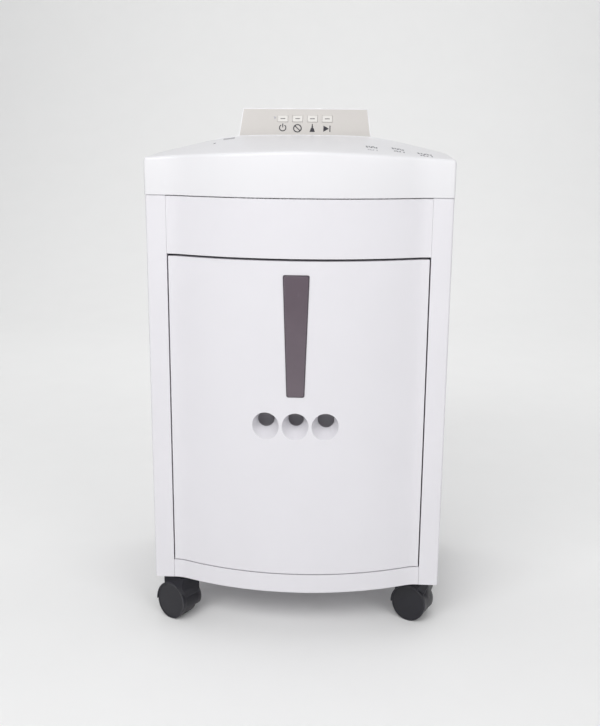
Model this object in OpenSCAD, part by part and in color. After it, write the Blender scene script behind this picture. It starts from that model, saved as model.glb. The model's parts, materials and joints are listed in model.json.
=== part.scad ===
// Office paper shredder: cabinet on casters, bowed pull-out bin drawer, cutting head under a domed cover.
// Units are millimetres. The floor is z = 0, the front faces -Y and the paper slot is centred on y = 0.

/* [Cabinet] */
// Width across the side panels
cabinet_w = 383; // [340:1:420]
// Depth from the flat front posts to the rear edge of the side panels
cabinet_d = 289.5; // [250:0.5:330]
// Height of the cabinet walls
cabinet_h = 514.5; // [430:0.5:600]
// Clearance under the cabinet
floor_gap = 62; // [60:1:75]
// Forward bulge of the bowed front
front_bow = 35.5; // [20:0.5:45]
// Radius of the main curve of the front
bow_r = 355; // [300:5:450]
// Radius of the reverse curve beside each post
flare_r = 35; // [20:1:60]
// Wall thickness of the cabinet panels
panel_t = 2.5; // [1.5:0.1:4]
// Width of the flat front posts
post_w = 25.7; // [18:0.1:32]
// Outer corner radius of the side panels
corner_r = 3; // [1:0.5:8]

/* [Drawer] */
// Height of the fixed rail under the drawer
rail_h = 25.2; // [15:0.1:50]
// Height of the drawer front
drawer_h = 412.2; // [300:0.1:480]
// Gap between the drawer front and the panels round it
seam_gap = 1.6; // [0.8:0.1:4]
// Wall thickness of the waste bin
bin_t = 2.2; // [1.5:0.1:4]
// Width of the waste bin
bin_w = 304; // [240:1:310]
// Depth of the waste bin, front to back
bin_d = 248; // [180:1:250]
// Height of the waste bin
bin_h = 378; // [250:1:390]

/* [Drawer window and grip] */
// Height of the level window
window_h = 154.8; // [80:0.1:200]
// Width of the window at its top
window_top_w = 33; // [20:0.5:60]
// Width of the window at its bottom
window_bottom_w = 22.8; // [10:0.1:60]
// Height of the window's lower edge above the cabinet underside
window_z = 267.5; // [200:0.5:300]
// Height of the finger cups above the cabinet underside
cup_z = 230; // [150:1:260]
// Distance between finger cups
cup_pitch = 38.5; // [36:0.5:50]
// Mouth diameter of a finger cup
cup_d = 34.5; // [28:0.5:36]
// Diameter of the hole at the back of a finger cup
cup_hole_d = 21; // [16:0.5:26]
// Depth of a finger cup
cup_depth = 20; // [10:1:24]
// Rise of the hole's centre over the mouth's centre
cup_rise = 4; // [0:0.5:5]

/* [Top cover] */
// Height of the cover's side at its front corners
cover_h = 46.2; // [30:0.1:70]
// Wall thickness of the cover
cover_t = 3; // [2:0.1:4]
// Overhang of the cover at the sides
cover_lap = 0.5; // [0:0.1:4]
// Overhang of the cover at the front and rear
cover_front_lap = 2; // [0:0.1:5]
// Rise of the front edge at its middle
crown_h = 9.2; // [0:0.1:20]
// Rise of the surface at the paper slot
ridge_h = 27.6; // [10:0.1:50]
// Fall of the surface to each side, mm per mm
side_slope = 0.24; // [0.1:0.01:0.4]
// Half width of the level part beside the centre
plateau_x = 94; // [60:1:120]
// Edge radius round the top of the cover
edge_r = 3.5; // [1:0.1:8]
// Length of the paper slot
slot_w = 230; // [222:1:250]
// Width of the paper slot
slot_gap = 8; // [6:0.5:12]

/* [Console] */
// Lean of the console face from upright, degrees
console_lean = 20; // [5:1:40]
// Height of the console's top front edge above the cabinet underside
console_z = 622.7; // [600:0.1:660]
// Half width of the console at its top
console_top_half = 84.5; // [60:0.5:110]
// Inward draft of the console sides, mm per mm
console_draft = 0.128; // [0:0.001:0.3]
// Key width
key_w = 13.4; // [8:0.1:18]
// Key height
key_h = 8.7; // [6:0.1:14]
// Distance between keys
key_pitch = 20; // [16:0.5:30]

/* [Cutting head] */
// Width of one paper strip
strip_w = 5.8; // [4:0.1:8]
// Diameter of a cutting disc
disc_d = 38; // [35:0.5:40]
// Distance between the two cutter shafts
cutter_gap = 34; // [32:1:36]
// Number of discs on the front cutter
front_discs = 19; // [9:2:19]
// Height of the cutter shafts above the cabinet underside
cutter_z = 486; // [480:1:500]
// Radius of the shaft between the discs
core_r = 13; // [10:0.5:14]
// Radius of the shaft journals
journal_r = 8; // [6:0.5:9]
// Running clearance of shafts, pins and stems
fit_gap = 0.05; // [0.02:0.01:0.1]

/* [Drive] */
// Teeth of the two synchronising gears
sync_teeth = 17; // [17:1:17]
// Module of the synchronising gears
sync_m = 2; // [2:0.1:2]
// Teeth of the drive gear on the rear cutter
drive_teeth = 45; // [45:1:45]
// Teeth of the small wheel that turns it
second_small_teeth = 15; // [15:1:15]
// Module of that pair
drive_m = 1.75; // [1.75:0.25:1.75]
// Teeth of the large wheel of the second gear
second_large_teeth = 56; // [56:1:56]
// Teeth of the small wheel of the first gear
first_small_teeth = 14; // [14:1:14]
// Module of that pair
second_m = 1.25; // [1.25:0.25:1.25]
// Teeth of the large wheel of the first gear
first_large_teeth = 50; // [50:1:50]
// Teeth of the motor pinion
pinion_teeth = 10; // [10:1:10]
// Module of the motor pair
first_m = 1; // [1:0.25:1]
// Motor body radius
motor_r = 32; // [28:0.5:34]
// Motor body length
motor_l = 104; // [80:1:110]

/* [Casters] */
// Wheel radius
wheel_r = 24.5; // [20:0.5:26]
// Inward lean of the wheel axle, degrees
camber = 5; // [0:1:10]
// Offset of the wheel from the swivel axis
trail = 16; // [12:0.5:22]
// Distance of each swivel axis from the middle of the cabinet
caster_x = 175.8; // [150:0.1:178]
// Distance of the front swivel axes behind the front posts
caster_front = 24.7; // [20:0.1:50]
// Distance of the rear swivel axes from the rear edge
caster_rear = 44.5; // [40:0.5:80]

/* [View] */
// Sub-part to draw

/* [Hidden] */
$fn = 48;
eps = 0.01;
half_w = cabinet_w / 2;
flange_y = front_bow - (cabinet_d + front_bow) / 2;
rear_y = flange_y + cabinet_d;
z_base = floor_gap;
z_top = floor_gap + cabinet_h;
post_x = half_w - post_w;
flare_x = sqrt(2 * front_bow * (bow_r + flare_r) - front_bow * front_bow);
bow_cy = flange_y - front_bow + bow_r;
bow_steps = 48;
wall_x = half_w - panel_t;

rail_z1 = z_base + rail_h;
drawer_z0 = rail_z1 + seam_gap;
drawer_z1 = drawer_z0 + drawer_h;
drawer_half = post_x - seam_gap - 0.2;
drawer_t = 3;
return_d = 22;
fascia_z0 = drawer_z1 + 3;
deck_z0 = drawer_z1 + 1;
deck_t = 2.5;
deck_z1 = deck_z0 + deck_t;
bin_z0 = drawer_z0 + 3.2;
bin_z1 = bin_z0 + bin_h;
bin_y0 = flange_y + 19;
bin_y1 = bin_y0 + bin_d;
bin_half = bin_w / 2;
lip_w = 9;
lip_t = 2.6;
lip_z = z_base + 238.4;
guide_x = bin_half + 3;
guide_z0 = lip_z - 0.4;
guide_z1 = lip_z + lip_t + 1;
guide_t = 2;
boss_xs = [-110, 110];
boss_zs = [z_base + 88, z_base + 368];
boss_r = 6;
screw_r = 1.9;

cup_w = [-cup_pitch, 0, cup_pitch];
cup_mid_z = z_base + cup_z;
cup_tilt = atan(cup_rise / cup_depth);
web_y = bow_cy - bow_r + cup_depth;
web_half = 58;
web_z0 = cup_mid_z - 22;
web_z1 = cup_mid_z + 30;
pocket_depth = 16;

cover_z1 = z_top + cover_h;
cover_half = half_w + cover_lap;
shadow_gap = 0.9;
cover_nx = 30;
cover_ny = 24;
edge_n = 4;
console_foot_z = z_base + 574;
console_face_z = z_base + 578;
console_top_z = z_base + console_z;
console_back_y = 80;
console_t = 2.5;
face_len = (console_top_z - console_face_z) / cos(console_lean);
overlay_t = 0.6;
key_v = 33;
key_xs = [for (i = [0:3]) (i - 1.5) * key_pitch];
key_gap = 0.3;

axis_z = z_base + cutter_z;
cutter_y = cutter_gap / 2;
disc_pitch = 2 * strip_w;
disc_t = strip_w - 0.4;
plate_x0 = 116.5;
plate_t = 4;
plate_x1 = plate_x0 + plate_t;
core_end = plate_x0 - 0.6;
plate_y0 = -50;
plate_z1 = z_base + 530;
gearbox_y1 = 138;
gearbox_z1 = z_base + 546;
outer_x0 = 154;
outer_t = 3;
bush_r = 11;
rod_r = 5;
rods = [[-42, z_base + 513], [42, z_base + 513], [-44, z_base + 453], [44, z_base + 453]];
spacers = [[-22, z_base + 452], [-22, z_base + 538], [130, z_base + 538], [131, z_base + 449]];

drive_a = 13.2;
second_a = -38;
first_a = 100;
pin_r = 4;
rear_axis = [cutter_y, axis_z];
second_axis = rear_axis + drive_m * (drive_teeth + second_small_teeth) / 2 * [cos(drive_a), sin(drive_a)];
first_axis = second_axis + second_m * (second_large_teeth + first_small_teeth) / 2
    * [cos(second_a), sin(second_a)];
motor_axis = first_axis + first_m * (first_large_teeth + pinion_teeth) / 2 * [cos(first_a), sin(first_a)];
motor_x0 = plate_x0 - 4.5 - motor_l;

caster_ys = [flange_y + caster_front, rear_y - caster_rear];
socket_r = 7.5;
stem_r = 4.5;
axle_r = 3;
stem_s = 16.6;
hub_z = wheel_r * cos(camber);
neck_z = z_base - 4.5;
stem_z0 = neck_z - 13;

// ---- shared outlines ----

// Front line of the cabinet at x, moved back by inset
function bow_line(x, inset) =
    let (ax = abs(x), r1 = bow_r - inset, r2 = flare_r + inset, xt = flare_x * r1 / (bow_r + flare_r))
    ax <= xt ? bow_cy - sqrt(r1 * r1 - x * x)
    : ax < flare_x ? flange_y - flare_r + sqrt(r2 * r2 - pow(flare_x - ax, 2))
    : flange_y + inset;

function bow_points(inset, half) =
    [for (i = [0:bow_steps]) let (x = -half + 2 * half * i / bow_steps) [x, bow_line(x, inset)]];

function reversed(list) = [for (i = [len(list) - 1:-1:0]) list[i]];

// Curved strip between two insets of the front line
module bow_band(a, b, half) {
    polygon(concat(bow_points(a, half), reversed(bow_points(b, half))));
}

// Flat region from the front line back to y1
module bow_region(a, half, y1) {
    polygon(concat(bow_points(a, half), [[half, y1], [-half, y1]]));
}

function arc_points(cx, cy, r, a0, a1, n = 6) =
    [for (i = [0:n]) let (a = a0 + (a1 - a0) * i / n) [cx + r * cos(a), cy + r * sin(a)]];

function rounded_rect(x0, y0, x1, y1, r) = concat(
    arc_points(x0 + r, y0 + r, r, 180, 270), arc_points(x1 - r, y0 + r, r, 270, 360),
    arc_points(x1 - r, y1 - r, r, 0, 90), arc_points(x0 + r, y1 - r, r, 90, 180));

module box(x0, x1, y0, y1, z0, z1) {
    translate([x0, y0, z0]) cube([x1 - x0, y1 - y0, z1 - z0]);
}

module x_rod(y, z, r, x0, x1) {
    translate([x0, y, z]) rotate([0, 90, 0]) cylinder(r = r, h = x1 - x0);
}

module y_rod(x, z, r, y0, y1) {
    translate([x, y0, z]) rotate([-90, 0, 0]) cylinder(r = r, h = y1 - y0);
}

// Drawing in the upright XZ plane, thickened from y0 to y1
module upright(y0, y1) {
    translate([0, y1, 0]) rotate([90, 0, 0]) linear_extrude(y1 - y0) children();
}

// Drawing in the YZ plane, thickened from x0 to x1
module sideways(x0, x1) {
    translate([x0, 0, 0]) rotate([90, 0, 90]) linear_extrude(x1 - x0) children();
}

// ---- cabinet ----

rear_screw_zs = [z_base + 28, z_base + 188, z_base + 348, z_base + 498];

module side_panel() {
    c = half_w - corner_r;
    rear_lip = 18;
    difference() {
        intersection() {
        translate([0, 0, z_base]) linear_extrude(cabinet_h) polygon(concat(
            arc_points(-c, flange_y + corner_r, corner_r, 180, 270),
            [[-post_x, flange_y], [-post_x, flange_y + 20], [-post_x - panel_t, flange_y + 20],
             [-post_x - panel_t, flange_y + panel_t], [-wall_x, flange_y + panel_t],
             [-wall_x, rear_y - panel_t], [-half_w + rear_lip, rear_y - panel_t],
             [-half_w + rear_lip, rear_y]],
            arc_points(-c, rear_y - corner_r, corner_r, 90, 180)));
            upright(flange_y - 1, rear_y + 1) polygon([
                [0, z_base], [0, z_top], [-half_w, z_top],
                each arc_points(-c, z_base + corner_r, corner_r, 180, 270)]);
        }
        for (z = rear_screw_zs) y_rod(-half_w + 10, z, screw_r, rear_y - panel_t - 1, rear_y + 1);
    }
}

module left_side_panel() {
    color([0.9, 0.9, 0.92]) side_panel();
}

module right_side_panel() {
    color([0.9, 0.9, 0.92]) mirror([1, 0, 0]) side_panel();
}

vent_rows = 6;
vent_w = 90;
inlet_x = -120;
inlet_z = z_base + 470;

module rear_panel() {
    color([0.86, 0.86, 0.88]) difference() {
        union() {
            box(-wall_x + 0.3, wall_x - 0.3, rear_y - 4.5, rear_y - 2.5, z_base + 0.2, z_top - 0.5);
            for (s = [-1, 1]) translate([s * (wall_x - 1.3), 0, 0])
                box(-1, 1, rear_y - 16.5, rear_y - 4.5, z_base + 16, z_top - 20);
        }
        for (s = [-1, 1], z = rear_screw_zs)
            y_rod(s * (half_w - 10), z, screw_r, rear_y - 6, rear_y);
        for (i = [0:vent_rows - 1]) translate([60, 0, z_base + 452 + i * 9])
            box(-vent_w / 2, vent_w / 2, rear_y - 6, rear_y, 0, 4);
        box(inlet_x - 14, inlet_x + 14, rear_y - 6, rear_y, inlet_z - 10, inlet_z + 10);
    }
}

module base_panel() {
    px = post_x - 0.3;
    y0 = flange_y + 15.2;
    yf = flange_y + panel_t + 0.2;
    yn = flange_y + 20.3;
    edge = wall_x - 0.3;
    yr = rear_y - 4.7;
    color([0.8, 0.8, 0.82]) difference() {
        union() {
            translate([0, 0, z_base]) linear_extrude(2) polygon([
                [-edge, yf], [-post_x - panel_t - 0.3, yf], [-post_x - panel_t - 0.3, yn], [-px, yn],
                [-px, y0], [px, y0], [px, yn], [post_x + panel_t + 0.3, yn],
                [post_x + panel_t + 0.3, yf], [edge, yf], [edge, yr], [-edge, yr]]);
            for (s = [-1, 1]) translate([s * (edge - 1), 0, 0])
                box(-1, 1, yn, yr, z_base + 2, z_base + 15);
            box(-edge, edge, yr - 2, yr, z_base + 2, z_base + 15);
        }
        for (s = [-1, 1], y = caster_ys)
            translate([s * caster_x, y, z_base - 1]) cylinder(r = socket_r, h = 4);
    }
}

module bottom_rail() {
    half = post_x - 0.2;
    color([0.88, 0.88, 0.9]) {
        translate([0, 0, z_base]) linear_extrude(rail_h) bow_band(0, drawer_t, half);
        translate([0, 0, z_base]) linear_extrude(2.5) bow_region(drawer_t - eps, half, flange_y + 15);
        translate([0, 0, rail_z1 - 2.5]) linear_extrude(2.5)
            bow_region(drawer_t - eps, half, flange_y + 12);
    }
}

module front_fascia() {
    half = post_x - 0.2;
    h = z_top - fascia_z0 - 0.7;
    color([0.9, 0.9, 0.92]) {
        translate([0, 0, fascia_z0]) linear_extrude(h) bow_band(0, drawer_t, half);
        translate([0, 0, fascia_z0]) linear_extrude(2.5)
            bow_region(drawer_t - eps, half, flange_y + 15);
        for (s = [-1, 1]) translate([s * (half - 1.25), 0, 0])
            box(-1.25, 1.25, flange_y + drawer_t - eps, flange_y + 15, fascia_z0, fascia_z0 + h);
    }
}

chute_half = 113.5;
chute_y = 46;

module deck_plate() {
    edge = wall_x - 0.3;
    y0 = flange_y + 20.5;
    yr = rear_y - 4.7;
    color([0.72, 0.73, 0.75]) difference() {
        union() {
            box(-edge, edge, y0, yr, deck_z0, deck_z1);
            for (s = [-1, 1]) translate([s * (edge - 1), 0, 0])
                box(-1, 1, y0, yr - 14, deck_z1 - eps, deck_z1 + 14);
        }
        box(-chute_half, chute_half, -chute_y, chute_y, deck_z0 - 1, deck_z1 + 1);
        // Notches round the side flanges of the rear panel
        for (s = [-1, 1]) translate([s * edge, 0, 0])
            box(-2.5, 2.5, rear_y - 17, rear_y, deck_z0 - 1, deck_z1 + 1);
        for (p = plate_screws) translate([p[0], p[1], deck_z0 - 1])
            cylinder(r = screw_r, h = deck_t + 2);
    }
}

module bin_guide() {
    y0 = flange_y + 29;
    y1 = rear_y - 22;
    box(guide_x, wall_x, y0, y1, guide_z0 - guide_t, guide_z0);
    box(guide_x, wall_x, y0, y1, guide_z1, guide_z1 + guide_t);
    box(wall_x - guide_t, wall_x, y0, y1, guide_z0 - 14, guide_z1 + 14);
}

module bin_guides() {
    color([0.7, 0.71, 0.73]) {
        bin_guide();
        mirror([1, 0, 0]) bin_guide();
    }
}

module caster_sockets() {
    color([0.25, 0.25, 0.27]) for (s = [-1, 1], y = caster_ys) translate([s * caster_x, y, 0]) {
        difference() {
            union() {
                translate([0, 0, z_base - 3]) cylinder(r = 10, h = 3);
                translate([0, 0, z_base - eps]) cylinder(r = socket_r, h = 28);
            }
            translate([0, 0, z_base - 4]) cylinder(r = stem_r + fit_gap, h = 28);
        }
    }
}

module pan_screw(length) {
    cylinder(r = screw_r, h = length + 1);
    translate([0, 0, length]) cylinder(r = 3.6, h = 1.9);
}

module cabinet_screws() {
    color([0.75, 0.75, 0.77]) for (s = [-1, 1], z = rear_screw_zs)
        translate([s * (half_w - 10), rear_y - 9, z]) rotate([-90, 0, 0]) pan_screw(9);
}

// ---- top cover ----

function soft_ramp(t, c) = (t + sqrt(t * t + c * c)) / 2;

function ease(t) = let (k = min(1, max(0, t))) k * k * (3 - 2 * k);

function front_rise(x) = crown_h * (1 - pow(min(1, abs(x) / half_w), 1.36));

function ridge_rise(x) = ridge_h - side_slope * soft_ramp(abs(x) - plateau_x, 22);

function mix(a, b, t) = a + (b - a) * t;

ridge_y = -slot_gap / 2;
rear_fall_y = 84;

// Height of the finished surface over the front corner height
function cover_rise(x, y) =
    let (yf = bow_line(x, -cover_front_lap), t = (y - yf) / (ridge_y - yf), b = front_rise(x) * 0.7)
    y < ridge_y ? mix(front_rise(x), ridge_rise(x), t + 0.18 * t * (1 - t))
    : mix(ridge_rise(x), b, ease((y - rear_fall_y * 0.5) / (rear_y - rear_fall_y * 0.5)));

function edge_drop(d, r) = d >= r ? 0 : r - sqrt(max(0, r * r - (r - d) * (r - d)));

// Station k of n across a span, closely spaced over the rounded edges
function station(k, n, span, r) =
    k <= edge_n ? r * (1 - cos(90 * k / edge_n))
    : k >= n - edge_n ? span - r * (1 - cos(90 * (n - k) / edge_n))
    : r + (span - 2 * r) * (k - edge_n) / (n - 2 * edge_n);

function corner_turn(x, half, r) =
    let (c = abs(x) - (half - r)) c > 0 ? r - sqrt(max(0, r * r - c * c)) : 0;

function cover_point(i, j, inset) =
    let (half = cover_half - inset, r = max(0.5, edge_r - inset * 0.8),
        x = -half + station(i, cover_nx, 2 * half, r), turn = corner_turn(x, half, r),
        y0 = bow_line(x, inset - cover_front_lap) + turn,
        y1 = rear_y + cover_front_lap - inset - turn,
        d = station(j, cover_ny, y1 - y0, r), y = y0 + d,
        drop = min(r, edge_drop(d, r) + edge_drop(y1 - y0 - d, r) + edge_drop(half - abs(x), r)))
    [x, y, cover_z1 + cover_rise(x, y) - drop - inset];

function ring_index(n, m) = concat(
    [for (i = [0:n]) [i, 0]], [for (j = [1:m]) [n, j]],
    [for (i = [n - 1:-1:0]) [i, m]], [for (j = [m - 1:-1:1]) [0, j]]);

module cover_shell() {
    n = cover_nx;
    m = cover_ny;
    ring = ring_index(n, m);
    count = (n + 1) * (m + 1);
    turns = len(ring);
    outer = [for (j = [0:m], i = [0:n]) cover_point(i, j, 0)];
    inner = [for (j = [0:m], i = [0:n]) cover_point(i, j, cover_t)];
    outer_foot = [for (k = ring) let (p = cover_point(k[0], k[1], 0)) [p[0], p[1], z_top + shadow_gap]];
    inner_foot = [for (k = ring) let (p = cover_point(k[0], k[1], cover_t)) [p[0], p[1], z_top]];
    a = 2 * count;
    b = a + turns;
    top = [for (j = [0:m - 1], i = [0:n - 1]) let (p = j * (n + 1) + i, q = p + n + 1)
        each [[p, q, p + 1], [p + 1, q, q + 1]]];
    under = [for (f = top) [f[0] + count, f[2] + count, f[1] + count]];
    outside = [for (k = [0:turns - 1]) let (l = (k + 1) % turns,
        p = ring[k][1] * (n + 1) + ring[k][0], q = ring[l][1] * (n + 1) + ring[l][0])
        each [[p, q, a + l], [p, a + l, a + k]]];
    inside = [for (k = [0:turns - 1]) let (l = (k + 1) % turns,
        p = count + ring[k][1] * (n + 1) + ring[k][0], q = count + ring[l][1] * (n + 1) + ring[l][0])
        each [[q, p, b + k], [q, b + k, b + l]]];
    foot = [for (k = [0:turns - 1]) let (l = (k + 1) % turns)
        each [[a + k, a + l, b + l], [a + k, b + l, b + k]]];
    polyhedron(points = concat(outer, inner, outer_foot, inner_foot),
        faces = concat(top, under, outside, inside, foot), convexity = 6);
}

module console_solid(back) {
    // back shrinks the block by a wall thickness
    t = back;
    ft = t / cos(console_lean);
    top_y = slot_gap / 2 + (console_top_z - console_face_z) * tan(console_lean);
    foot_half = console_top_half + (console_top_z - console_foot_z) * console_draft;
    intersection() {
        sideways(-200, 200) polygon([
            [slot_gap / 2 + ft, console_foot_z - t], [slot_gap / 2 + ft, console_face_z],
            [top_y + ft - t * tan(console_lean), console_top_z - t],
            [console_back_y - 12 - t, console_top_z - 5 - t],
            [console_back_y - t, console_foot_z - t]]);
        upright(-10, 120) polygon([
            [-foot_half + t, console_foot_z - t], [foot_half - t, console_foot_z - t],
            [console_top_half - t, console_top_z + eps], [-console_top_half + t, console_top_z + eps]]);
    }
}

module top_cover() {
    lip_y0 = flange_y + 25;
    lip_y1 = rear_y - 20;
    lip_x = wall_x - 0.4;
    foot_half = console_top_half + (console_top_z - console_foot_z) * console_draft;
    color([0.95, 0.95, 0.96]) {
        difference() {
            cover_shell();
            box(-slot_w / 2, slot_w / 2, -slot_gap / 2, slot_gap / 2, z_top + 20, console_top_z);
            box(-foot_half, foot_half, -slot_gap / 2 + eps, slot_gap / 2 + 6, z_top + 30, console_top_z);
            console_solid(0);
        }
        for (s = [-1, 1]) translate([s * (lip_x - 1), 0, 0])
            box(-1, 1, lip_y0, lip_y1, z_top - 10, z_top + 12);
        for (k = [0, 1], y = [lip_y0 + 10, 0, lip_y1 - 10]) mirror([k, 0, 0])
            translate([lip_x - 1, y, z_top + 4]) box(0, 3.2, -2, 2, 0, 8);
    }
}

guide_top_z = console_foot_z;
guide_foot_z = axis_z + 22;

module throat_guide() {
    t = 2;
    y_top = slot_gap / 2;
    y_foot = 3.2;
    end_t = plate_x0 - 0.3 - slot_w / 2;
    color([0.2, 0.2, 0.22]) difference() {
        union() {
            for (s = [-1, 1]) sideways(-slot_w / 2, slot_w / 2) polygon([
                [s * y_foot, guide_foot_z], [s * y_top, guide_top_z],
                [s * (y_top + t), guide_top_z], [s * (y_foot + t), guide_foot_z]]);
            for (s = [-1, 1]) translate([s * (slot_w + end_t) / 2, 0, 0])
                box(-end_t / 2, end_t / 2, -y_top - t, y_top + t, guide_foot_z, guide_top_z);
        }
        y_rod(0, guide_foot_z + 36, 2, -20, 20);
    }
}

module face_frame() {
    translate([0, slot_gap / 2, console_face_z]) rotate([90 - console_lean, 0, 0]) children();
}

overlay_v0 = 8;
overlay_v1 = face_len - 1.1;
overlay_inset = 1.1;

function face_half(v) = console_top_half + (face_len - v) * cos(console_lean) * console_draft;

module overlay_outline(grow) {
    i = overlay_inset - grow;
    polygon([
        [-face_half(overlay_v0) + i, overlay_v0 - grow], [face_half(overlay_v0) - i, overlay_v0 - grow],
        [face_half(overlay_v1) - i, overlay_v1 + grow], [-face_half(overlay_v1) + i, overlay_v1 + grow]]);
}

module key_holes() {
    for (x = key_xs) translate([x, key_v])
        square([key_w + 2 * key_gap, key_h + 2 * key_gap], center = true);
}

board_w0 = -15;
board_post_x = 48;

module console_housing() {
    color([0.94, 0.94, 0.95]) {
        difference() {
            console_solid(0);
            console_solid(console_t);
            face_frame() translate([0, 0, -overlay_t]) linear_extrude(3) overlay_outline(0);
            face_frame() translate([0, 0, -6]) linear_extrude(12) key_holes();
        }
        face_frame() for (x = [-board_post_x, board_post_x]) translate([x, key_v - 8, board_w0 + 1.6])
            cylinder(r = 3, h = -board_w0 - 1.6 - console_t + 0.2);
    }
}

module console_overlay() {
    color([0.84, 0.82, 0.8]) face_frame() translate([0, 0, -overlay_t]) linear_extrude(overlay_t)
        difference() {
            overlay_outline(0);
            key_holes();
        }
}

module key_cap(x) {
    color([0.93, 0.92, 0.9]) face_frame() translate([x, key_v, 0]) {
        translate([0, 0, -console_t - 0.6]) linear_extrude(console_t + 1.3)
            polygon(rounded_rect(-key_w / 2, -key_h / 2, key_w / 2, key_h / 2, 0.8));
        translate([0, 0, -console_t - 1.2]) linear_extrude(0.9)
            square([key_w + 2.6, key_h + 2.6], center = true);
        translate([0, 0, -9]) linear_extrude(9 - console_t - 1) square([4, 4], center = true);
    }
}

module power_key() {
    key_cap(key_xs[0]);
}

module cancel_key() {
    key_cap(key_xs[1]);
}

module clean_key() {
    key_cap(key_xs[2]);
}

module forward_key() {
    key_cap(key_xs[3]);
}

module key_board() {
    color([0.12, 0.4, 0.22]) face_frame() {
        translate([-56, key_v - 20, board_w0]) cube([112, 27, 1.6]);
        for (x = key_xs) translate([x - 3, key_v - 3, board_w0 + 1.6]) cube([6, 6, 3.2]);
        translate([-44, key_v - 17, board_w0 + 1.6]) cube([14, 9, 3]);
        translate([20, key_v - 16, board_w0 + 1.6]) cube([20, 7, 5]);
    }
}

// ---- cutting head ----

plate_screws = [[-127, -42], [-127, 42], [127, -42], [106, 70], [106, 128]];

module journal_holes(x0, x1) {
    for (s = [-1, 1]) x_rod(s * cutter_y, axis_z, bush_r, x0, x1);
}

module foot_screw_hole(p) {
    translate([p[0], p[1], deck_z1 - 1]) cylinder(r = screw_r, h = 6);
}

module cutter_plate_left() {
    color([0.6, 0.61, 0.63]) difference() {
        union() {
            box(-plate_x1, -plate_x0, plate_y0, -plate_y0, deck_z1, plate_z1);
            for (s = [-1, 1]) translate([0, s * 42, 0])
                box(-134, -plate_x1 + eps, -8, 8, deck_z1, deck_z1 + 3);
        }
        journal_holes(-plate_x1 - 1, -plate_x0 + 1);
        for (p = [plate_screws[0], plate_screws[1]]) foot_screw_hole(p);
    }
}

module cutter_plate_right() {
    color([0.6, 0.61, 0.63]) difference() {
        union() {
            box(plate_x0, plate_x1, plate_y0, gearbox_y1, deck_z1, gearbox_z1);
            box(plate_x1 - eps, 134, plate_y0, -34, deck_z1, deck_z1 + 3);
            box(96, plate_x0 + eps, 60, gearbox_y1, deck_z1, deck_z1 + 3);
        }
        journal_holes(plate_x0 - 1, plate_x1 + 1);
        for (a = [first_axis, second_axis]) x_rod(a[0], a[1], pin_r, plate_x0 - 1, plate_x1 + 1);
        x_rod(motor_axis[0], motor_axis[1], 8, plate_x0 - 1, plate_x1 + 1);
        for (s = [-1, 1]) x_rod(motor_axis[0] + s * 17, motor_axis[1], screw_r, plate_x0 - 1, plate_x1 + 1);
        for (p = [plate_screws[2], plate_screws[3], plate_screws[4]]) foot_screw_hole(p);
    }
}

module gear_outer_plate() {
    color([0.6, 0.61, 0.63]) difference() {
        union() {
            box(outer_x0, outer_x0 + outer_t, -32, gearbox_y1, z_base + 442.8, gearbox_z1);
            for (p = spacers) x_rod(p[0], p[1], 5.5, plate_x1, outer_x0 + eps);
        }
        for (a = [first_axis, second_axis])
            x_rod(a[0], a[1], pin_r, outer_x0 - 1, outer_x0 + outer_t + 1);
        for (p = spacers) x_rod(p[0], p[1], screw_r, outer_x0 - 12, outer_x0 + outer_t + 1);
    }
}

module tie_rods() {
    color([0.7, 0.7, 0.72]) for (p = rods) x_rod(p[0], p[1], rod_r, -plate_x0, plate_x0);
}

module gear_pins() {
    color([0.78, 0.78, 0.8]) for (a = [first_axis, second_axis])
        x_rod(a[0], a[1], pin_r, plate_x0, outer_x0 + outer_t);
}

module cutter_bushes() {
    color([0.72, 0.55, 0.3]) for (s = [-1, 1], x = [-plate_x1, plate_x0]) difference() {
        x_rod(s * cutter_y, axis_z, bush_r, x, x + plate_t);
        x_rod(s * cutter_y, axis_z, journal_r + fit_gap, x - 1, x + plate_t + 1);
    }
}

module comb(count, s) {
    tooth = disc_pitch - disc_t - 1.6;
    y_bar = cutter_y + disc_d / 2 + 2;
    mirror([0, s < 0 ? 1 : 0, 0]) {
        box(-plate_x0, plate_x0, y_bar, y_bar + 4, axis_z - 12, axis_z + 12);
        for (i = [0:count - 1]) translate([(i - (count - 1) / 2) * disc_pitch, 0, 0])
            box(-tooth / 2, tooth / 2, cutter_y + core_r + 0.7, y_bar + eps, axis_z - 5, axis_z + 5);
    }
}

module stripper_combs() {
    color([0.55, 0.56, 0.58]) {
        comb(front_discs - 1, -1);
        comb(front_discs, 1);
    }
}

module cutter(y, count, x_left, x_right) {
    notch_w = 2.4;
    notches = 6;
    difference() {
        union() {
            x_rod(y, axis_z, core_r, -core_end, core_end);
            for (i = [0:count - 1]) translate([(i - (count - 1) / 2) * disc_pitch, 0, 0])
                x_rod(y, axis_z, disc_d / 2, -disc_t / 2, disc_t / 2);
        }
        for (k = [0:notches - 1]) translate([0, y, axis_z]) rotate([k * 360 / notches, 0, 0])
            box(-plate_x0, plate_x0, disc_d / 2 - 1.6, disc_d / 2 + 1, -notch_w / 2, notch_w / 2);
    }
    x_rod(y, axis_z, journal_r, x_left, -core_end + eps);
    x_rod(y, axis_z, journal_r, core_end - eps, x_right);
}

module front_cutter() {
    color([0.5, 0.5, 0.52]) cutter(-cutter_y, front_discs, -134, plate_x1 + 0.6);
}

module rear_cutter() {
    color([0.5, 0.5, 0.52]) cutter(cutter_y, front_discs + 1, -134, outer_x0 - 1);
}

// ---- gears ----

gear_play = 0.1;
pressure = 20;

function involute_angle(a) = tan(a) * 180 / PI - a;

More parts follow.
